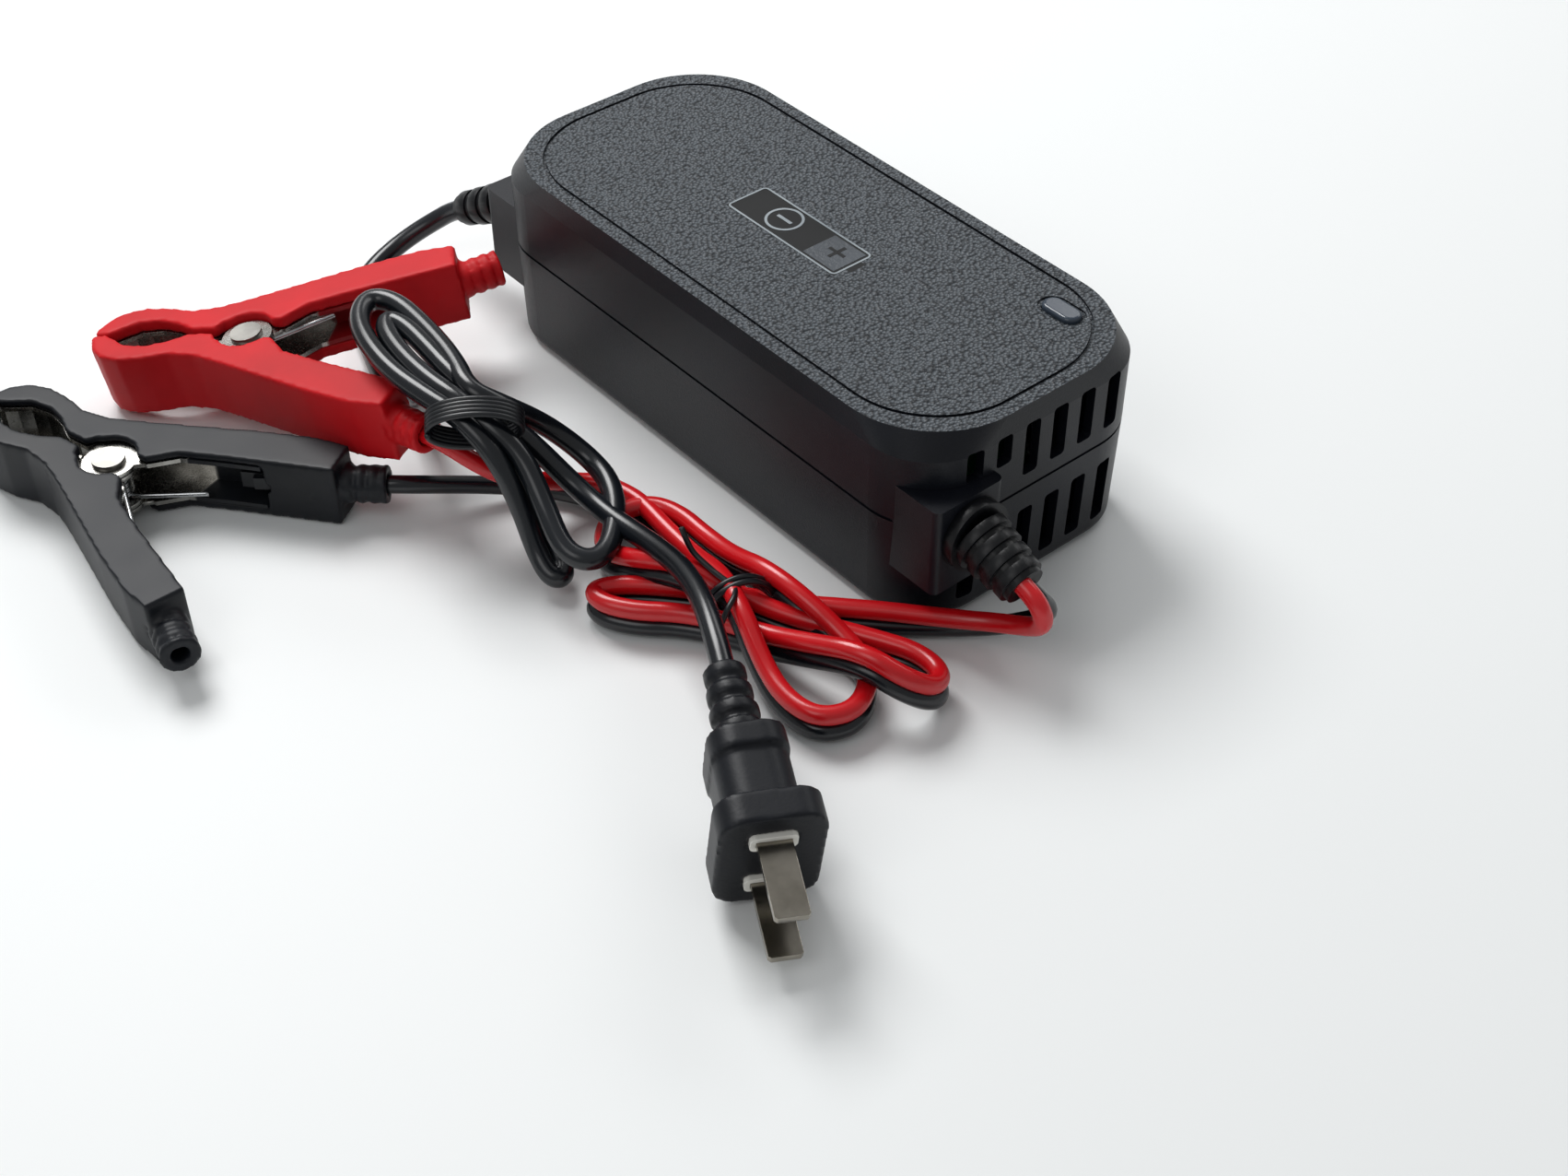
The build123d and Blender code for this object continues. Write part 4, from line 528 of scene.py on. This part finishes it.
RED_LEAD = [
    (95.9, -22.9, 19.7), (96.2, -22.3, 16.8), (94.6, -21.5, 13.9), (91.8, -20.9, 11.4),
    (88.3, -20.9, 9.2), (84.0, -22.0, 7.5), (79.0, -25.2, 6.5), (73.0, -30.2, 6.35),
    (66.2, -36.0, 6.35), (60.2, -41.6, 6.35), (54.8, -46.8, 6.35)]
BLACK_LEAD = [
    (92.8, -18.9, 17.0), (92.7, -17.4, 14.5), (91.4, -16.5, 11.7), (89.0, -16.3, 8.7),
    (85.8, -17.2, 6.0), (82.0, -19.6, 3.8), (77.6, -23.6, 2.6), (72.4, -29.2, 2.25),
    (66.2, -36.0, 2.25), (60.2, -41.6, 2.25), (54.8, -46.8, 2.25)]
# Turns of the bonded pair, with the height that the lower wire stands at.
PAIR_TURNS = [
    (47, -53, 2.2), (38, -60, 2.2), (30, -67, 2.2), (25, -73, 2.2), (24.4, -76.8, 2.2),
    (29, -77, 2.2), (35, -73, 2.2), (40, -67.5, 2.2), (47, -62.4, 2.2), (57, -58.6, 3.0),
    (67, -56, 6.5), (79, -53, 11.2), (87, -49, 7.5), (89.4, -43.5, 3.4), (86.5, -38.8, 2.2),
    (79, -38.6, 2.2), (71, -42.6, 2.2), (63, -47.4, 2.6), (55, -52.4, 3.4), (47, -57, 5.4),
    (36, -63, 10.4), (25, -67.4, 6.2), (16.5, -67.6, 2.6), (10.5, -63.6, 2.2),
    (8.4, -57, 2.2), (10.5, -51, 2.2), (17, -48.4, 2.2), (26, -48.8, 2.4), (36, -49.6, 4.2),
    (47, -50.2, 8.6), (58, -49.4, 8.0), (67, -47.4, 3.4), (74.5, -48, 2.2), (80.5, -52.6, 2.2),
    (83.2, -59, 2.2), (80, -65.2, 2.2), (72, -66.4, 2.2), (63, -64.4, 3.6), (52, -61, 9.4),
    (40, -56.4, 6.4), (30, -54.4, 2.4), (19, -53.6, 2.2)]
RED_END = [
    (9.6, -52.4, 6.35), (4.6, -53.0, 6.35), (-0.3, -54.5, 6.35), (-3.5, -56.9, 6.4),
    (-5.8, -60.3, 6.9), (-7.0, -64.2, 8.4), (-7.0, -70.2, 11.6), (-8.6, -75.1, 14.9),
    (-11.8, -78.9, 18.2), (-15.6, -81.2, 20.6)]
BLACK_END = [
    (9.6, -52.8, 2.25), (3.6, -54.0, 2.25), (-3.8, -57.4, 2.25), (-11.4, -62.4, 2.4),
    (-17.2, -69.0, 3.2), (-21.6, -77.0, 5.0)]
pair_turns = np.array(PAIR_TURNS, float)
above = np.array([0.0, 0.0, 4.1])

red_points = ([tuple(RED_EXIT), tuple(RED_EXIT + 3.0 * OUTPUT_DIRECTION)] + RED_LEAD
              + [tuple(p) for p in pair_turns + above] + RED_END
              + [tuple(in_tail(RED_PLACE, RED_AXES, -1, d)) for d in (14.5, 9.0, 5.0)])
black_points = ([tuple(BLACK_EXIT), tuple(BLACK_EXIT + 2.4 * OUTPUT_DIRECTION)] + BLACK_LEAD
                + [tuple(p) for p in pair_turns] + BLACK_END
                + [tuple(in_tail(BLACK_PLACE, BLACK_AXES, 1, d)) for d in (16.5, 9.0, 5.0)])
red_wire = nurbs_cord("red_output_wire", red_points, WIRE_DIAMETER, RED_WIRE)
black_wire = nurbs_cord("black_output_wire", black_points, WIRE_DIAMETER, BLACK_WIRE)
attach(red_wire, "charger")
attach(black_wire, "charger")
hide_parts("red_wire_lead", "red_wire_end", "dc_cord_hank")
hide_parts("black_wire_lead", "black_wire_end", "dc_cord_hank")


# ------------------------------------------------------------------ cord ties

def wrapped_band(name, centre, axis, wide, thick, width, turns, strand, body="charger"):
    """A flat strap wound round a bundle: an oval of half axes a and b in the plane across the
    bundle, advanced along the bundle by width/turns each time round, as a swept round strand."""
    axis = unit(axis)
    across = unit(np.cross(axis, (0, 0, 1)))
    up = np.cross(across, axis)
    t = np.linspace(0, turns * 2 * np.pi, int(turns * 48))
    along = (t / (turns * 2 * np.pi) - 0.5) * width
    line = (np.asarray(centre) + np.outer(np.cos(t) * wide / 2, across)
            + np.outer(np.sin(t) * thick / 2, up) + np.outer(along, axis)) * MM
    band = sweep(name, line, np.full(len(line), strand / 2 * MM), sides=12, start_up=axis)
    dress(band, TIE_PLASTIC)
    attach(band, body)
    return band


ac_tie = wrapped_band("mains_cord_tie", (-10.4, -78.6, 29.2), (0.819, -0.574, -0.2),
                      19.0, 9.4, 5.2, 5, 1.3)
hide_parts("ac_cord_tie")
dc_axis = (math.cos(math.radians(-16)), math.sin(math.radians(-16)), 0)
dc_tie = wrapped_band("output_wire_tie", (48.0, -57.6, 7.2), dc_axis, 14.4, 14.0, 3.2, 2, 1.3)
TWIST_TAILS = [[(47, -59, 13.6), (44, -59.6, 14.2), (41.5, -60, 14.8), (37.2, -60.8, 16.8),
                (34.4, -61.2, 21.2)],
               [(48.5, -59, 13.6), (51, -61.5, 14.6), (52.5, -64.5, 13.8), (53.0, -67.0, 10.8)]]
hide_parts("dc_cord_tie")


def smooth_line(points_mm, count=40):
    """Catmull-Rom curve through the points, evenly stepped in its parameter, in metres."""
    p = np.asarray(points_mm, float)
    p = np.vstack([2 * p[0] - p[1], p, 2 * p[-1] - p[-2]])
    s = np.linspace(0, len(p) - 3 - 1e-9, count)
    i = s.astype(int)
    t = (s - i)[:, None]
    a, b, c, d = p[i], p[i + 1], p[i + 2], p[i + 3]
    return 0.5 * (2 * b + (c - a) * t + (2 * a - 5 * b + 4 * c - d) * t ** 2
                  + (3 * b - a - 3 * c + d) * t ** 3) * MM


for index, route in enumerate(TWIST_TAILS):
    line = smooth_line(route, 36)
    tail = sweep(f"twist_tie_tail_{index + 1}", line, np.full(len(line), 0.6 * MM), sides=12)
    dress(tail, TIE_PLASTIC)
    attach(tail, "charger")


# ------------------------------------------------------------------ clip springs

SPRING_RADIUS, SPRING_WIRE_DIAMETER, SPRING_TURNS, SPRING_LEG = 3.3, 1.2, 5, 17.2


def spring_line(place, axes, sign, start):
    """Coil about the clip's rivet axis: radius r, rising one wire diameter a turn."""
    t = np.linspace(0, SPRING_TURNS * 2 * np.pi, SPRING_TURNS * 32)
    height = HALF_CLIP + (t / (2 * np.pi) - SPRING_TURNS / 2) * SPRING_WIRE_DIAMETER * 1.06
    x, y = SPRING_RADIUS * np.cos(sign * t + start), SPRING_RADIUS * np.sin(sign * t + start)
    return (place + np.outer(x, axes[0]) + np.outer(y, axes[1]) + np.outer(height, axes[2])) * MM


def clip_spring(colour, place, axes, wired_side, free_body):
    coil = sweep(f"{colour}_spring_coil", spring_line(place, axes, 1, math.pi / 2),
                 np.full(SPRING_TURNS * 32, SPRING_WIRE_DIAMETER / 2 * MM), sides=12,
                 start_up=tuple(axes[2]))
    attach(coil, "charger")
    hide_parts(f"{colour}_clip_spring")
    dress(coil, SPRING_WIRE)
    for part, side, body, level in (("wired", wired_side, "charger", -1),
                                    ("free", -wired_side, free_body, 1)):
        s = np.linspace(0, 1, 24)
        x = SPRING_RADIUS + s * SPRING_LEG * math.cos(math.radians(61)) * 1.6
        y = side * (SPRING_RADIUS * 0.2 + s * SPRING_LEG * 0.56)
        z = HALF_CLIP + level * (SPRING_TURNS / 2) * SPRING_WIRE_DIAMETER * np.ones_like(s)
        line = (place + np.outer(x, axes[0]) + np.outer(y, axes[1])
                + np.outer(z, axes[2])) * MM
        leg = sweep(f"{colour}_spring_{part}_leg", line,
                    np.full(24, SPRING_WIRE_DIAMETER / 2 * MM), sides=12,
                    start_up=tuple(axes[2]))
        dress(leg, SPRING_WIRE)
        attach(leg, body)


# The red jaws' tangs are painted darker than the red boot, the black ones in the boot's black:
# painted shade inside the arms.
RED_JAW = shade_painted_jaw("nickel_jaw_with_painted_red_shade", RED_PLACE, RED_AXES[0], "#8a060f", "#9c0a14")
BLACK_JAW = shade_painted_jaw("nickel_jaw_with_painted_black_shade", BLACK_PLACE, BLACK_AXES[0],
                       "#0a0d12", "#11151b")
for half in ("wired_jaw", "free_jaw"):
    dress(nodes[f"red_{half}"], RED_JAW)
    dress(nodes[f"black_{half}"], BLACK_JAW)
# The crimp ferrules take the jaw finish too, painted dark past the reach as shade inside the wired
# arms.
dress(nodes["red_crimp_ferrule"], RED_JAW)
dress(nodes["black_crimp_ferrule"], BLACK_JAW)

clip_spring("red", RED_PLACE, RED_AXES, -1, "red_free_arm")
clip_spring("black", BLACK_PLACE, BLACK_AXES, 1, "black_free_arm")


# ------------------------------------------------------------------ battery symbol

def ribbon(line_xy, width, top, closed=False):
    """Flat line of a printed width: each point offset half the width to either side of the
    line's direction, as a strip of quads at one height."""
    p = np.asarray(line_xy, float)
    if closed:
        tangent = unit(np.roll(p, -1, 0) - np.roll(p, 1, 0))
    else:
        tangent = unit(np.gradient(p, axis=0))
    normal = np.column_stack([-tangent[:, 1], tangent[:, 0]])
    both = np.stack([p + normal * width / 2, p - normal * width / 2], axis=1).reshape(-1, 2)
    points = np.column_stack([both, np.full(len(both), top)]) * MM
    n = len(p)
    i = np.arange(n if closed else n - 1)
    j = (i + 1) % n
    faces = np.stack([2 * i, 2 * i + 1, 2 * j + 1, 2 * j], axis=-1)
    return points, faces


def print_piece(name, parts, material):
    """Several ribbons joined into one thin printed piece, given the ink's thickness."""
    points, faces, offset = [], [], 0
    for p, f in parts:
        points.append(p)
        faces.append(f + offset)
        offset += len(p)
    made = mesh_object(name, np.vstack(points), np.vstack(faces), smooth=False)
    shell = made.modifiers.new("ink thickness", "SOLIDIFY")
    shell.thickness = 0.05 * MM
    shell.offset = 1
    dress(made, material)
    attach(made, "charger")
    return made


def circle(cx, cy, r, a0=0, a1=360, count=64, end=True):
    a = np.radians(np.linspace(a0, a1, count, endpoint=end))
    return np.column_stack([cx + r * np.cos(a), cy + r * np.sin(a)])


def bar(x0, y0, x1, y1):
    return np.array([(x0, y0), (x1, y1)], float)


SYMBOL_TOP = 46.02


def outline_box(x0, y0, x1, y1, r, count=8):
    """Rounded rectangle: four quarter circles of radius r joined end to end."""
    corners = [(x1 - r, y1 - r, 0), (x0 + r, y1 - r, 90), (x0 + r, y0 + r, 180),
               (x1 - r, y0 + r, 270)]
    return np.vstack([circle(cx, cy, r, a, a + 90, count) for cx, cy, a in corners])


print_piece("battery_symbol_empty_cell", [
    ribbon(bar(4.6, 0.0, 14.3, 0.0), 9.0, SYMBOL_TOP - 0.02)], EMPTY_CELL)
print_piece("battery_symbol_ink", [
    ribbon(outline_box(-19.2, -5.3, 15.2, 5.3, 1.0), 0.45, SYMBOL_TOP, closed=True),
    ribbon(circle(-7.0, 0.3, 4.0, end=False), 0.6, SYMBOL_TOP, closed=True),
    ribbon(bar(-9.2, 0.3, -4.8, 0.3), 0.8, SYMBOL_TOP),
], SYMBOL_INK)
print_piece("battery_symbol_plus", [
    ribbon(bar(7.2, 0.6, 12.0, 0.6), 0.9, SYMBOL_TOP),
    ribbon(bar(9.6, -1.8, 9.6, 3.0), 0.9, SYMBOL_TOP + 0.01),
], SYMBOL_DARK)


# ------------------------------------------------------------------ camera, floor and light

camera_data = bpy.data.cameras.new("camera")
camera_data.sensor_width = 36
camera_data.lens = 50.30
camera = bpy.data.objects.new("camera", camera_data)
camera.location = Vector((0.29556, -0.25525, 0.30358))
camera.rotation_euler = Vector((-0.5626, 0.4749, -0.6767)).to_track_quat("-Z", "Y").to_euler()
bpy.context.scene.collection.objects.link(camera)
bpy.context.scene.camera = camera

floor = bpy.data.meshes.new("floor")
reach = 3.0
floor.from_pydata([(-reach, -reach, -0.0005), (reach, -reach, -0.0005), (reach, reach, -0.0005),
                   (-reach, reach, -0.0005)], [], [(0, 1, 2, 3)])
floor_object = bpy.data.objects.new("floor", floor)
bpy.context.scene.collection.objects.link(floor_object)
FLOOR, floor_shader = new_material("white_table", "#eef0f0", 0.55)
bumped(FLOOR, floor_shader, speckle(FLOOR, 3.0), 0.05, 0.05)
floor.materials.append(FLOOR)


def softbox(name, place, target, size, watts):
    """A square area lamp aimed at a point, sized for soft-edged shadows."""
    lamp = bpy.data.lights.new(name, "AREA")
    lamp.shape = "RECTANGLE"
    lamp.size, lamp.size_y = size
    lamp.energy = watts
    made = bpy.data.objects.new(name, lamp)
    made.location = place
    made.rotation_euler = (Vector(target) - Vector(place)).to_track_quat("-Z", "Y").to_euler()
    bpy.context.scene.collection.objects.link(made)
    return made


lights = [softbox("overhead_softbox", (-0.75, 0.05, 0.95), (0, -0.03, 0), (0.6, 0.6), 12.5),
          softbox("back_softbox", (-0.25, 0.95, 0.75), (0, -0.03, 0.02), (0.9, 0.3), 2.2),
          softbox("front_softbox", (0.2, -1.0, 1.1), (0.0, -0.03, 0.02), (0.7, 0.7), 2.5)]
world = bpy.data.worlds.new("studio")
world.use_nodes = True
world.node_tree.nodes["Background"].inputs["Color"].default_value = linear("#f2f4f5")
world.node_tree.nodes["Background"].inputs["Strength"].default_value = 0.36
bpy.context.scene.world = world
bpy.context.scene.view_settings.view_transform = "Standard"
